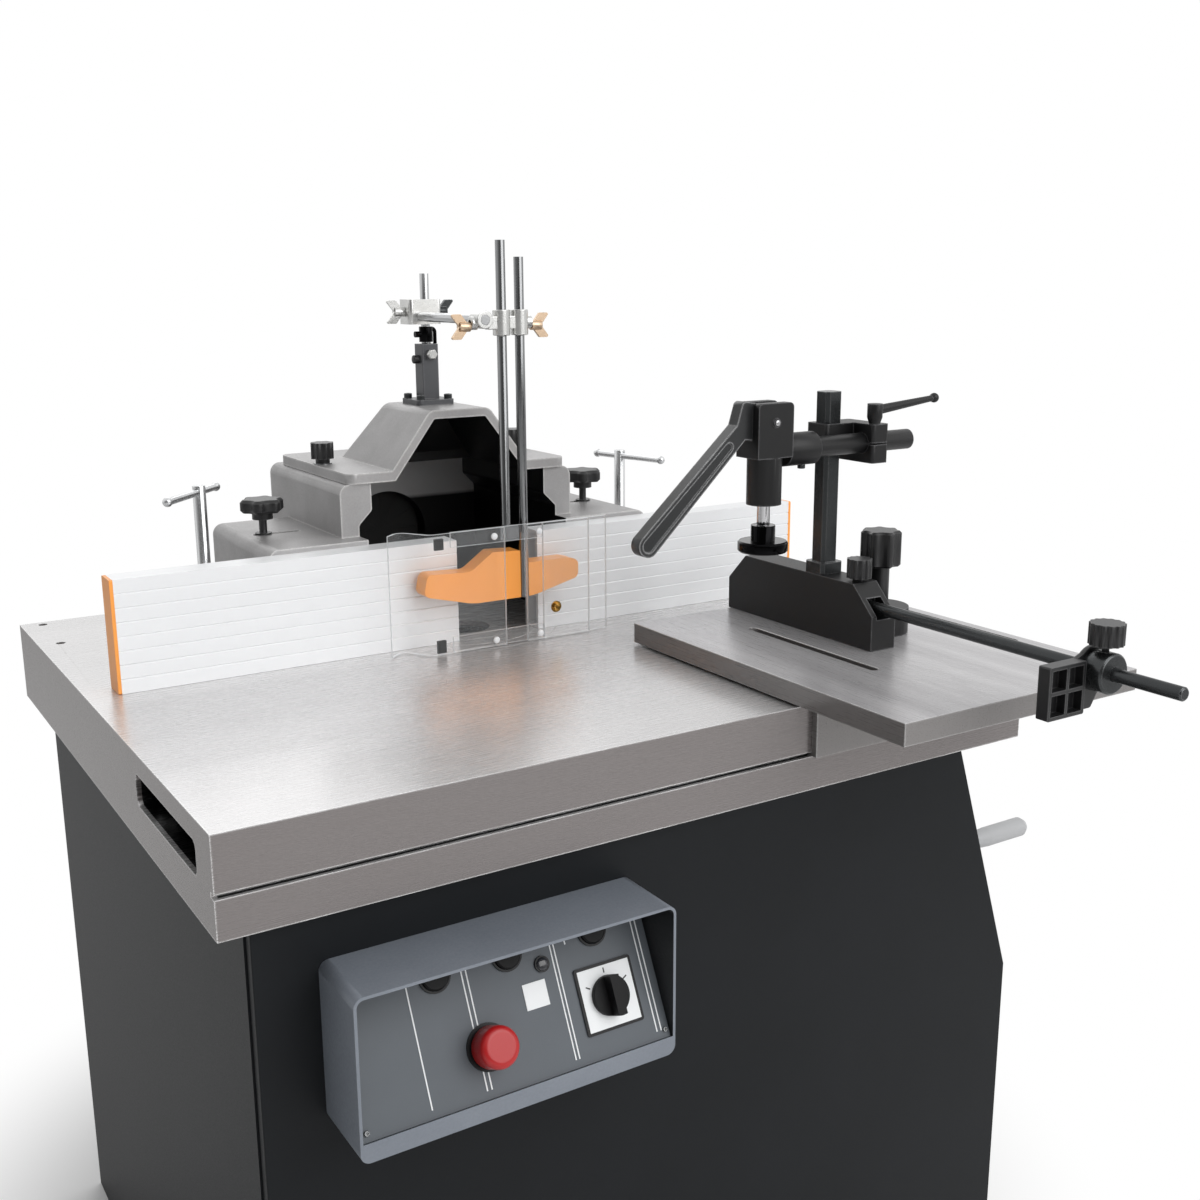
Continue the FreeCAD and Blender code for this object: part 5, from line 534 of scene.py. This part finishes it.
# Turned steel shows the rings of the tool.
BRIGHT_STEEL = Finish("turned_steel", "steel", "#c3c3c4", "#a8a8aa", 1.0, 0.24, 0.06, 0.5, 0.006,
                      Grain.ROUND_Z)
# Primer grey on castings inside the stand.
GREY_IRON = Finish("painted_grey_iron", "grey_iron", "#4a4c4f", "#3e4043", 0.1, 0.5, 0.07, 1.8, 0.05)
WHEEL_CHROME = Finish("polished_wheel_iron", "grey_iron", "#8a8c8e", "#777a7c", 0.8, 0.28, 0.06, 1.0, 0.01)
MOTOR_PAINT = Finish("motor_enamel", "motor_paint", "#4d565f", "#434b53", 0.0, 0.45, 0.06, 1.6, 0.03)
# Rubber is dull, with a dry bloom.
BELT_RUBBER = Finish("belt_rubber", "belt_rubber", "#1b1b1b", "#141414", 0.0, 0.75, 0.08, 0.9, 0.04)
STOP_RED = Finish("moulded_red", "red_plastic", "#b5191b", "#a31416", 0.0, 0.3, 0.04, 0.9, 0.006)
GRIP_GREY = Finish("turned_polyamide_grey", "grip_grey", "#b4b5b6", "#a7a8aa", 0.0, 0.4, 0.05, 0.9, 0.01)
# Screen print lies flat and dry on the film.
PRINT_WHITE = Finish("screen_print_white", "fascia_grey", "#eceeef", "#e1e3e4", 0.0, 0.5, 0.03, 0.6, 0.004)
PRINT_DARK = Finish("screen_print_dark", "black_plastic", "#26282b", "#1f2123", 0.0, 0.5, 0.03, 0.6, 0.004)
NYLON_WHITE = Finish("nylon_white", "grip_grey", "#eff0f1", "#e3e4e6", 0.0, 0.35, 0.04, 0.5, 0.006)
# A smoked lens is dark until it is lit.
LENS_SMOKE = Finish("lamp_lens_smoke", "black_plastic", "#303136", "#26272b", 0.0, 0.2, 0.03, 0.8, 0.01,
                    coat=0.4)
LEVER_CHROME = TwoToneRound("lever_steel_and_chrome", "black_steel", "#2a2a2c", "#202022", 0.6, 0.28, 0.05,
                            0.7, 0.01, outer="#d5d6d7", axis=(-330.0, -370.0), reach=158.0)
CHROME_PLUNGER = TwoToneRound("chrome_plunger", "steel", "#cfcfd0", "#b9b9bb", 1.0, 0.16, 0.04, 0.6, 0.004,
                              Grain.ALONG_Z, axis=(189.5, -397.0), reach=7.8)
CLEAR = ClearSheet()


def round_edges(piece: bpy.types.Object, width: float) -> None:
    """Add a modifier that rounds the sharp edges of a piece to a width, so that they catch the light."""
    bevel = piece.modifiers.new("edges", "BEVEL")
    bevel.width = width * MM
    bevel.segments = 2
    bevel.limit_method = "ANGLE"
    bevel.angle_limit = SHARP_EDGE
    bevel.harden_normals = True


def dress(nodes: Iterable[str], finish: AnyFinish, edge: float = 0.0) -> None:
    """Give named CAD nodes a finish, and edges rounded to a width unless it is 0."""
    for node in nodes:
        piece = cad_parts[node]
        for slot in piece.material_slots:
            slot.material = finish.material()
        if edge:
            weld = piece.modifiers.new("weld", "WELD")
            weld.merge_threshold = WELD * MM
            round_edges(piece, edge)
        LOG.info("dressed %s in %s", node, finish.name)


def basis(origin: Sequence[float], up: Sequence[float]) -> Matrix:
    """Place a shape by where its origin and its Z go, from millimetres to metres."""
    turn = Vector((0, 0, 1)).rotation_difference(Vector(up)).to_matrix().to_4x4()
    return Matrix.Scale(MM, 4) @ Matrix.Translation(Vector(origin)) @ turn


def show(thing: bpy.types.Object) -> None:
    """Put an object in the scene."""
    bpy.context.scene.collection.objects.link(thing)


def upright(y: float) -> Matrix:
    """Place a flat form across the machine at a depth: its X to the right, its Y up and its Z to the back."""
    return Matrix.Scale(MM, 4) @ Matrix(((1, 0, 0, 0), (0, 0, 1, y), (0, 1, 0, 0), (0, 0, 0, 1)))


class Shape:
    """A mesh that grows from turned and flat forms and ends as a piece that rides on a body."""

    def __init__(self) -> None:
        """Start with an empty mesh."""
        self.mesh = bmesh.new()

    def turn(self, profile: Outline, place: Matrix, sides: int = 32) -> "Shape":
        """Turn a profile about its Z.

        Args:
            profile: (radius, height) points from the foot to the top.
            place: where the form goes.
            sides: facets round the axis.

        Returns:
            This shape.
        """
        rows = []
        turns = [2 * math.pi * i / sides for i in range(sides)]
        for radius, height in profile:
            if radius == 0:
                rows.append([self.mesh.verts.new(place @ Vector((0, 0, height)))])
                continue
            circle = [Vector((radius * math.cos(a), radius * math.sin(a), height)) for a in turns]
            rows.append([self.mesh.verts.new(place @ point) for point in circle])
        for low, high in zip(rows, rows[1:]):
            for i in range(sides):
                k = (i + 1) % sides
                corners = [low[i % len(low)], low[k % len(low)], high[k % len(high)], high[i % len(high)]]
                self.mesh.faces.new(list(dict.fromkeys(corners)))
        return self

    def slab(self, outline: Outline, depth: float, place: Matrix) -> "Shape":
        """Raise a flat outline along its Z.

        Args:
            outline: corners (x, y) in order.
            depth: the height of the slab.
            place: where the form goes.

        Returns:
            This shape.
        """
        foot = [self.mesh.verts.new(place @ Vector((x, y, 0))) for x, y in outline]
        top = [self.mesh.verts.new(place @ Vector((x, y, depth))) for x, y in outline]
        self.mesh.faces.new(list(reversed(foot)))
        self.mesh.faces.new(top)
        count = len(outline)
        for i in range(count):
            k = (i + 1) % count
            self.mesh.faces.new([foot[i], foot[k], top[k], top[i]])
        return self

    def finish(self, name: str, finish: AnyFinish, body: str, edge: float = 0.0) -> bpy.types.Object:
        """Make the piece.

        Args:
            name: the piece's name.
            finish: its finish.
            body: the body that it rides on.
            edge: width of the edge rounding, none for 0.

        Returns:
            The piece.
        """
        bmesh.ops.recalc_face_normals(self.mesh, faces=self.mesh.faces)
        data = bpy.data.meshes.new(name)
        self.mesh.to_mesh(data)
        self.mesh.free()
        data.shade_smooth()
        piece = bpy.data.objects.new(name, data)
        show(piece)
        data.materials.append(finish.material())
        if edge:
            round_edges(piece, edge)
        else:
            data.set_sharp_from_angle(angle=SHARP_EDGE)
        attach(piece, body)
        LOG.info("built %s on %s", name, body)
        return piece


def rectangle(x0: float, x1: float, y0: float, y1: float) -> list[tuple[float, float]]:
    """Give the corners of a rectangle in order."""
    return [(x0, y0), (x1, y0), (x1, y1), (x0, y1)]


def ring(bore: float, rim: float, top: float, foot: float = 0.0) -> list[tuple[float, float]]:
    """Draw a closed ring between a foot and a top."""
    return [(bore, foot), (rim, foot), (rim, top), (bore, top), (bore, foot)]


def dome(radius: float, height: float, rise: float, steps: int = 5) -> list[tuple[float, float]]:
    """Draw a button head: a short straight side and a domed top.

    Args:
        radius: radius of the side.
        height: height of the side.
        rise: height of the dome over it.
        steps: points along the dome.

    Returns:
        Profile points from the foot to the crown.
    """
    curve = [math.pi / 2 * i / steps for i in range(1, steps)]
    crown = [(radius * math.cos(a), height + rise * math.sin(a)) for a in curve]
    return [(0, 0), (radius, 0), (radius, height), *crown, (0, height + rise)]


def socket_head(radius: float, height: float) -> list[tuple[float, float]]:
    """Draw a socket screw's head, from its foot to the bottom of its sunk drive."""
    lip = radius * 0.12
    drive = radius * 0.52
    return [(0, 0), (radius, 0), (radius, height - lip), (radius - lip, height), (drive, height),
            (drive, height * 0.4), (0, height * 0.4)]


@dataclass
class Cabinet:
    """Sheet-steel stand, its front panel and the parts of the drive inside."""

    edge: float = 1.2

    def build(self) -> None:
        """Dress the stand and what is inside it."""
        dress(["cabinet_shell"], CABINET_COAT)
        dress(["front_panel"], CABINET_COAT, edge=self.edge)
        dress(["spindle_guide"], GREY_IRON)
        dress(["quill", "spindle", "motor_rotor", "pinion_shaft"], BRIGHT_STEEL)
        dress(["motor"], MOTOR_PAINT)
        dress(["drive_belt"], BELT_RUBBER)


@dataclass
class ControlStation:
    """Visor box with its sloped control plate: buttons, lamp, selector, printed lines and a bare label.

    Places on the plate are given across it and down its slope from its top edge.
    """

    film: FasciaFilm = FASCIA_FILM
    line: float = 1.3
    line_top: float = 6.0
    line_foot: float = 150.0
    print_depth: float = 0.3
    lines_x: tuple[float, ...] = (-333.8, -276.9, -272.0, -179.6, -175.6, -84.2, -79.2)
    tick: tuple[float, float, float] = (-162.6, 28.0, 41.5)
    label: tuple[float, float, float, float] = (-218.0, -192.5, 67.0, 92.0)
    label_depth: float = 0.8
    pad: float = 2.0
    selector: tuple[float, float] = (-128.0, 101.0)
    plate_side: float = 60.0
    plate_depth: float = 0.5
    marks: tuple[float, ...] = (-60.0, 0.0, 60.0)
    mark_radii: tuple[float, float] = (22.5, 27.5)
    lamp: tuple[float, float] = (-192.0, 53.0)
    lamp_head: tuple[float, float, float] = (6.4, 0.4, 1.8)
    lamp_proud: float = 2.5
    screws: tuple[tuple[float, float], ...] = ((-398.0, 150.0), (-74.5, 150.0))
    screw_head: tuple[float, float] = (2.6, 2.2)

    def on_plate(self, x: float, down: float, proud: float = 0.0) -> Matrix:
        """Place a flat form on the control plate, drawn with its X across and its Y up the slope.

        Args:
            x: where its origin goes across.
            down: where its origin goes down the slope.
            proud: how far it stands in front of the plate.

        Returns:
            The placing.
        """
        lean = math.radians(self.film.tilt)
        rise, lay = math.cos(lean), math.sin(lean)
        y = self.film.pivot[0] - down * lay - proud * rise
        z = self.film.pivot[1] - down * rise + proud * lay
        turn = Matrix(((1, 0, 0, x), (0, lay, -rise, y), (0, rise, lay, z), (0, 0, 0, 1)))
        return Matrix.Scale(MM, 4) @ turn

    def build(self) -> None:
        """Dress the box and its controls, and build the print on the plate."""
        dress(["control_housing"], HOUSING_COAT, edge=1.6)
        dress(["control_fascia"], self.film)
        dress(["button_left", "button_middle", "button_right"], CONTROL_BLACK, edge=0.6)
        dress(["selector_knob"], CONTROL_BLACK, edge=0.8)
        dress(["emergency_stop"], STOP_RED, edge=0.6)
        self.print_lines()
        self.selector_plate()
        self.small_parts()

    def print_lines(self) -> None:
        """Build the white lines that divide the plate, and the bare label."""
        lines = Shape()
        sheet = self.on_plate(0, 0)
        for x in self.lines_x:
            lines.slab(rectangle(x, x + self.line, -self.line_foot, -self.line_top), self.print_depth, sheet)
        x, top, foot = self.tick
        lines.slab(rectangle(x, x + self.line, -foot, -top), self.print_depth, sheet)
        lines.finish("fascia_lines", PRINT_WHITE, "frame")
        x0, x1, top, foot = self.label
        label = Shape().slab(rectangle(x0, x1, -foot, -top), self.label_depth, sheet)
        label.finish("fascia_label", PRINT_WHITE, "frame", edge=0.3)

    def selector_plate(self) -> None:
        """Build the white plate behind the selector, with its position marks."""
        x, down = self.selector
        half = self.plate_side / 2
        plate = Shape().slab(rectangle(-half, half, -half, half), self.plate_depth,
                             self.on_plate(x, down, self.pad))
        plate.finish("selector_plate", PRINT_WHITE, "frame", edge=0.2)
        marks = Shape()
        for angle in self.marks:
            turn = Matrix.Rotation(math.radians(-angle), 4, "Z")
            marks.slab(rectangle(-self.line / 2, self.line / 2, *self.mark_radii), self.print_depth,
                       self.on_plate(x, down, self.pad + self.plate_depth) @ turn)
        marks.finish("selector_marks", PRINT_DARK, "frame")

    def small_parts(self) -> None:
        """Build the domed lens of the lamp and the plate's screws."""
        lens = Shape().turn(dome(*self.lamp_head), self.on_plate(*self.lamp, self.lamp_proud))
        lens.finish("lamp_lens", LENS_SMOKE, "frame")
        screws = Shape()
        for x, down in self.screws:
            screws.turn(socket_head(*self.screw_head), self.on_plate(x, down), sides=20)
        screws.finish("fascia_screws", BLACK_OXIDE, "frame")


@dataclass
class Table:
    """Ground table with its rings and lock lever."""

    edge: float = 1.6

    def build(self) -> None:
        """Dress the table's pieces."""
        dress(["table_casting"], TABLE_IRON, edge=self.edge)
        dress(["table_rings"], TABLE_IRON, edge=0.6)
        dress(["lock_lever"], LEVER_CHROME)


@dataclass
class Hood:
    """Cutter hood: casting, lid, knobs, hold-down bolts and the post that carries the pressers."""

    edge: float = 2.2
    lid_top: float = 1088.0
    lid_knobs: tuple[float, float] = (144.0, 108.2)
    washer: tuple[float, float, float] = (5.4, 12.0, 1.4)
    washer_gap: float = 0.02
    flange_top: float = 1168.0
    post_y: float = 85.0
    screw_inset: float = 20.0
    screw: tuple[float, float] = (5.4, 6.4)
    post_half: float = 12.0
    thumb_z: float = 1220.0
    thumb_head: tuple[float, float, float] = (5.6, 7.0, 1.6)
    bolt_z: float = 1226.7
    bolt_head: Outline = ((0, 0), (7.4, 0), (7.4, 6.6), (6.2, 8.4), (0, 8.4))
    flap_y: float = 264.0
    flap_z: float = 962.0
    flap_r: float = 59.9
    flap_thick: float = 2.0
    petals: int = 12
    petal_steps: int = 6
    slit: float = 0.006

    def build(self) -> None:
        """Dress the hood and add the washers, screws and flap."""
        dress(["hood_base", "hood_lid"], HOOD_PAINT, edge=self.edge)
        dress(["lid_knob_left", "lid_knob_right", "star_knob_left", "star_knob_right"], BLACK_PHENOLIC,
              edge=0.8)
        dress(["clamp_bolt_left", "clamp_bolt_right"], ZINC_BOLT, edge=0.6)
        dress(["pressure_post"], POST_PAINT, edge=0.8)
        dress(["post_rod"], POST_BAR, edge=0.5)
        self.washers()
        self.screws()
        self.flap()

    def washers(self) -> None:
        """Build the plated washers under the lid knobs."""
        shape = Shape()
        x, y = self.lid_knobs
        profile = ring(*self.washer, foot=self.washer_gap)
        for side in (-1, 1):
            shape.turn(profile, basis((side * x, y, self.lid_top), (0, 0, 1)))
        shape.finish("lid_washers", ZINC_BAR, "hood")

    def screws(self) -> None:
        """Build the flange screws, the thumb screw and the plated bolt of the post."""
        flange = Shape()
        for x in (-self.screw_inset, self.screw_inset):
            for y in (-self.screw_inset, self.screw_inset):
                flange.turn(socket_head(*self.screw), basis((x, self.post_y + y, self.flange_top), (0, 0, 1)))
        flange.finish("flange_screws", BLACK_OXIDE, "hood")
        thumb = Shape().turn(dome(*self.thumb_head),
                             basis((-self.post_half, self.post_y, self.thumb_z), (-1, 0, 0)))
        thumb.finish("post_thumb_screw", BLACK_PHENOLIC, "hood")
        bolt = Shape().turn(self.bolt_head,
                            basis((0, self.post_y - self.post_half, self.bolt_z), (0, -1, 0)), sides=6)
        bolt.finish("post_bolt", ZINC_CASTING, "hood", edge=0.4)

    def flap(self) -> None:
        """Build the slit rubber flap in the dust spout, two layers whose slits cover each other."""
        shape = Shape()
        step = 2 * math.pi / self.petals
        for layer in range(2):
            place = basis((0, self.flap_y + layer * self.flap_thick, self.flap_z), (0, 1, 0))
            for i in range(self.petals):
                start = i + layer / 2
                span = 1 - 2 * self.slit
                turns = [step * (start + self.slit + span * k / self.petal_steps)
                         for k in range(self.petal_steps + 1)]
                rim = [(self.flap_r * math.cos(a), self.flap_r * math.sin(a)) for a in turns]
                shape.slab([(0.0, 0.0), *rim], self.flap_thick, place)
        shape.finish("dust_flap", BELT_RUBBER, "hood")


@dataclass
class Fence:
    """Two aluminium fence plates with their orange end caps."""

    def build(self) -> None:
        """Dress the plates and caps."""
        dress(["fence_plate_left", "fence_plate_right"], EXTRUSION, edge=0.4)
        dress(["end_cap_left", "end_cap_right"], ORANGE_ABS, edge=0.8)


@dataclass
class Pressers:
    """Rods and clamps with the clear guard and the pressure shoe."""

    guard_face: float = -120.0
    guard_foot: float = 871.5
    sheet: float = 4.0
    screws: tuple[tuple[float, float], ...] = ((-12.5, 141.0), (51.5, 141.0), (-12.5, 8.0), (51.5, 8.0))
    screw_head: tuple[float, float, float] = (4.4, 0.8, 1.8)
    brass: tuple[float, float] = (75.0, 40.0)
    brass_washer: Outline = ((0, 0), (7.5, 0), (7.5, 1.2), (0, 1.2))
    brass_nut: Outline = ((0, 1.2), (5.6, 1.2), (5.6, 5.0), (3.2, 5.4), (3.2, 8.0), (0, 8.0))
    blocks: tuple[tuple[float, float], ...] = ((1002.0, 1016.0), (872.0, 888.0))
    block_x: tuple[float, float] = (-92.0, -80.0)
    rods_x: tuple[float, float] = (14.0, 39.0)
    rods_y: float = -101.67
    cross: tuple[float, float] = (-14.0, 1276.0)
    casting_z: tuple[float, float] = (1256.5, 1287.5)
    casting_x: tuple[float, float] = (-29.2, 54.2)
    casting_half: float = 12.0
    boss: tuple[float, float] = (6.25, 10.8)
    stud: tuple[float, float] = (4.1, 8.0)
    stud_z: float = 1272.0
    web: tuple[float, float] = (6.0, 8.0)
    wall: float = 1.0

    def build(self) -> None:
        """Dress the rods, clamps, guard and shoe, and add the double clamp's casting and the fastenings."""
        dress(["guard_rod", "shoe_rod"], ZINC_BAR, edge=0.4)
        dress(["cross_rod"], ZINC_CROSS, edge=0.4)
        dress(["cross_clamp", "double_clamp", "cross_wing_left"], ZINC_CASTING, edge=1.2)
        self.double_casting()
        dress(["cross_wing_right"], BLACK_OXIDE, edge=0.8)
        dress(["double_wing_left", "double_wing_right"], YELLOW_ZINC, edge=0.8)
        dress(["guard_sheet"], CLEAR)
        dress(["pressure_shoe"], ORANGE_ABS, edge=1.2)
        self.fastenings()

    def double_casting(self) -> None:
        """Build the double clamp as cast: a boss round each rod, stud bosses at its ends and webs between."""
        bore, rim = self.boss
        foot, top = self.casting_z
        shape = Shape()
        for x in self.rods_x:
            shape.turn(ring(bore, rim, top - foot), basis((x, self.rods_y, foot), (0, 0, 1)))
        cross_x, cross_z = self.cross
        shape.turn(ring(bore, rim, 2 * self.casting_half),
                   basis((cross_x, self.rods_y - self.casting_half, cross_z), (0, 1, 0)))
        half, tall = self.web
        low, high = self.stud_z - tall, self.stud_z + tall
        inset = bore + self.wall
        middles = sorted((cross_x, *self.rods_x))
        for left, right in zip(middles, middles[1:]):
            web = rectangle(left + inset, right - inset, low, high)
            shape.slab(web, 2 * half, upright(self.rods_y - half))
        for end, start, side in ((self.casting_x[0], middles[0], 1), (self.casting_x[1], middles[-1], -1)):
            shape.turn(ring(*self.stud, abs(start - end) - inset),
                       basis((end, self.rods_y, self.stud_z), (side, 0, 0)))
        piece = shape.finish("double_clamp_casting", ZINC_CASTING, "reach", edge=1.2)
        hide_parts("double_clamp")

    def fastenings(self) -> None:
        """Build the white screws, the brass screw and the dark spacers of the guard."""
        heads = Shape()
        for x, up in self.screws:
            place = basis((x, self.guard_face, self.guard_foot + up), (0, -1, 0))
            heads.turn(dome(*self.screw_head), place, sides=24)
        heads.finish("guard_screws", NYLON_WHITE, "guard")
        x, up = self.brass
        place = basis((x, self.guard_face, self.guard_foot + up), (0, -1, 0))
        brass = Shape().turn(self.brass_washer, place).turn(self.brass_nut, place, sides=6)
        brass.finish("guard_brass_nut", BRASS, "guard", edge=0.3)
        spacers = Shape()
        place = upright(self.guard_face + self.sheet)
        for low, high in self.blocks:
            spacers.slab(rectangle(*self.block_x, low, high), self.sheet, place)
        spacers.finish("guard_spacers", BELT_RUBBER, "guard", edge=0.5)


@dataclass
class SlidingPlate:
    """Ground sliding plate with the mitre fence, its stop and the cam clamp."""

    arm_y: float = -397.0
    pin: tuple[float, float] = (189.5, 1166.2)
    pin_head: tuple[float, float, float] = (3.4, 0.6, 0.9)
    yoke_out: float = 22.0
    collar_x: float = 244.0
    collar_foot: float = 1113.8
    collar_screw: tuple[float, float] = (4.5, 5.0)

    def build(self) -> None:
        """Dress the plate and everything that it carries."""
        dress(["sliding_plate"], PLATE_IRON, edge=1.0)
        dress(["mitre_fence"], BLACK_CASTING, edge=1.4)
        dress(["lobed_knob", "set_knob", "stop_knob"], BLACK_PHENOLIC, edge=0.6)
        dress(["flip_stop"], BLACK_PHENOLIC, edge=0.8)
        dress(["stop_rod", "stop_collar", "clamp_post"], BLACK_OXIDE, edge=0.6)
        dress(["clamp_bracket", "clamp_head", "ratchet_lever"], BLACK_CASTING, edge=1.2)
        dress(["cam_lever"], LEVER_CASTING, edge=1.2)
        dress(["plunger"], CHROME_PLUNGER, edge=0.6)
        self.pins()

    def pins(self) -> None:
        """Build the bright ends of the cam's pin and the screw under the arm's collar."""
        x, z = self.pin
        ends = Shape()
        for side in (-1, 1):
            place = basis((x, self.arm_y + side * self.yoke_out, z), (0, side, 0))
            ends.turn(dome(*self.pin_head), place, sides=24)
        ends.finish("cam_pin_ends", BRIGHT_STEEL, "clamp_head")
        place = basis((self.collar_x, self.arm_y, self.collar_foot), (0, 0, -1))
        screw = Shape().turn(socket_head(*self.collar_screw), place, sides=24)
        screw.finish("collar_screw", BLACK_OXIDE, "clamp_head")


@dataclass
class Handwheel:
    """Wheel of the rise and fall drive, with its loose grip and the nut on its hub."""

    axis: tuple[float, float] = (-335.0, 586.0)
    hub_face: float = 539.0
    washer: Outline = ((0, 0), (12.0, 0), (12.0, 1.8), (0, 1.8))
    nut: Outline = ((0, 1.8), (9.0, 1.8), (9.0, 8.0), (7.6, 9.2), (0, 9.2))

    def build(self) -> None:
        """Dress the wheel and add the hub's nut and washer."""
        dress(["handwheel"], WHEEL_CHROME, edge=0.6)
        dress(["handwheel_grip"], GRIP_GREY)
        place = basis((self.hub_face, *self.axis), (1, 0, 0))
        nut = Shape().turn(self.washer, place).turn(self.nut, place, sides=6)
        nut.finish("handwheel_nut", ZINC_CASTING, "handwheel", edge=0.4)


@dataclass(frozen=True)
class SoftLamp:
    """A square lamp: where it hangs and its side in metres, and its power in watts."""

    name: str
    place: tuple[float, float, float]
    side: float
    power: float


@dataclass
class Studio:
    """Pale floor, soft light and the camera of the photograph."""

    frame_px: float = 1200.0
    focal_px: float = 1377.14
    sensor: float = 36.0
    eye: tuple[float, float, float] = (-797.2, -1614.7, 1328.1)
    yaw: float = 32.15
    pitch: float = 13.29
    roll: float = -0.33
    floor_m: float = 30.0
    ambient: tuple[float, float] = (0.22, 0.98)
    behind_camera: float = 0.15
    dim_zone: Range = (0.1, 0.8)
    dim_flatness: float = 2.2
    lamps: tuple[SoftLamp, ...] = (SoftLamp("key_lamp", (0.9, -3.1, 2.7), 3.0, 78.0),
                                   SoftLamp("back_lamp", (0.6, 2.6, 3.0), 2.4, 16.0))
    aim_m: tuple[float, float, float] = (0.0, -0.1, 0.9)

    def build(self) -> None:
        """Set up the camera, floor, world and lamps."""
        self.camera()
        self.floor()
        self.world()
        for lamp in self.lamps:
            self.hang(lamp)

    def camera(self) -> None:
        """Place the camera where the photograph was taken."""
        data = bpy.data.cameras.new("photo_camera")
        data.sensor_width = self.sensor
        data.lens = self.sensor * self.focal_px / self.frame_px
        camera = bpy.data.objects.new("photo_camera", data)
        turn = Matrix.Rotation(math.radians(-self.yaw), 4, "Z")
        turn @= Matrix.Rotation(math.radians(90 - self.pitch), 4, "X")
        turn @= Matrix.Rotation(math.radians(self.roll), 4, "Z")
        camera.matrix_world = Matrix.Translation(Vector(self.eye) * MM) @ turn
        show(camera)
        bpy.context.scene.camera = camera
        bpy.context.scene.view_settings.view_transform = "Standard"

    def floor(self) -> None:
        """Lay the floor."""
        mesh = bmesh.new()
        bmesh.ops.create_grid(mesh, x_segments=8, y_segments=8, size=self.floor_m)
        data = bpy.data.meshes.new("studio_floor")
        mesh.to_mesh(data)
        mesh.free()
        floor = bpy.data.objects.new("studio_floor", data)
        show(floor)
        data.materials.append(StudioPaper().material())

    def world(self) -> None:
        """Surround the machine with white, softer from the left and dim behind the camera in reflections."""
        world = bpy.data.worlds.new("studio")
        bpy.context.scene.world = world
        world.use_nodes = True
        nodes = Nodes(world.node_tree)
        turn = math.radians(self.yaw)
        direction = nodes.add("TexCoord").outputs["Generated"]
        low = nodes.vector("NORMALIZE", nodes.vector("MULTIPLY", direction, (1.0, 1.0, self.dim_flatness)))
        behind = nodes.measure("DOT_PRODUCT", low, (-math.sin(turn), -math.cos(turn), 0.0))
        mirrored = nodes.ramp(behind, self.dim_zone, (1.0, self.behind_camera), "SMOOTHSTEP")
        soft = nodes.ramp(nodes.parts(direction)[0], (-1.0, 1.0), self.ambient)
        glossy = nodes.add("LightPath").outputs["Is Glossy Ray"]
        level = nodes.add("Mix", links={0: glossy, 2: soft, 3: mirrored}).outputs[0]
        strength = nodes.add("Mix", {3: 1.0}, {0: nodes.seen(), 2: level}).outputs[0]
        nodes.fill(world.node_tree.nodes["Background"], {"Color": linear("#ffffff")}, {"Strength": strength})

    def hang(self, lamp: SoftLamp) -> None:
        """Hang a soft lamp that looks at the table."""
        data = bpy.data.lights.new(lamp.name, "AREA")
        data.shape = "SQUARE"
        data.size = lamp.side
        data.energy = lamp.power
        hung = bpy.data.objects.new(lamp.name, data)
        hung.location = lamp.place
        aim = Vector(self.aim_m) - Vector(lamp.place)
        hung.rotation_euler = aim.to_track_quat("-Z", "Y").to_euler()
        show(hung)


def main() -> None:
    """Build every part of the machine and the studio."""
    logging.basicConfig(level=logging.INFO, format="%(message)s")
    for part in (Cabinet(), ControlStation(), Table(), Hood(), Fence(), Pressers(), SlidingPlate(),
                 Handwheel(), Studio()):
        part.build()


if __name__ == "__main__":
    main()
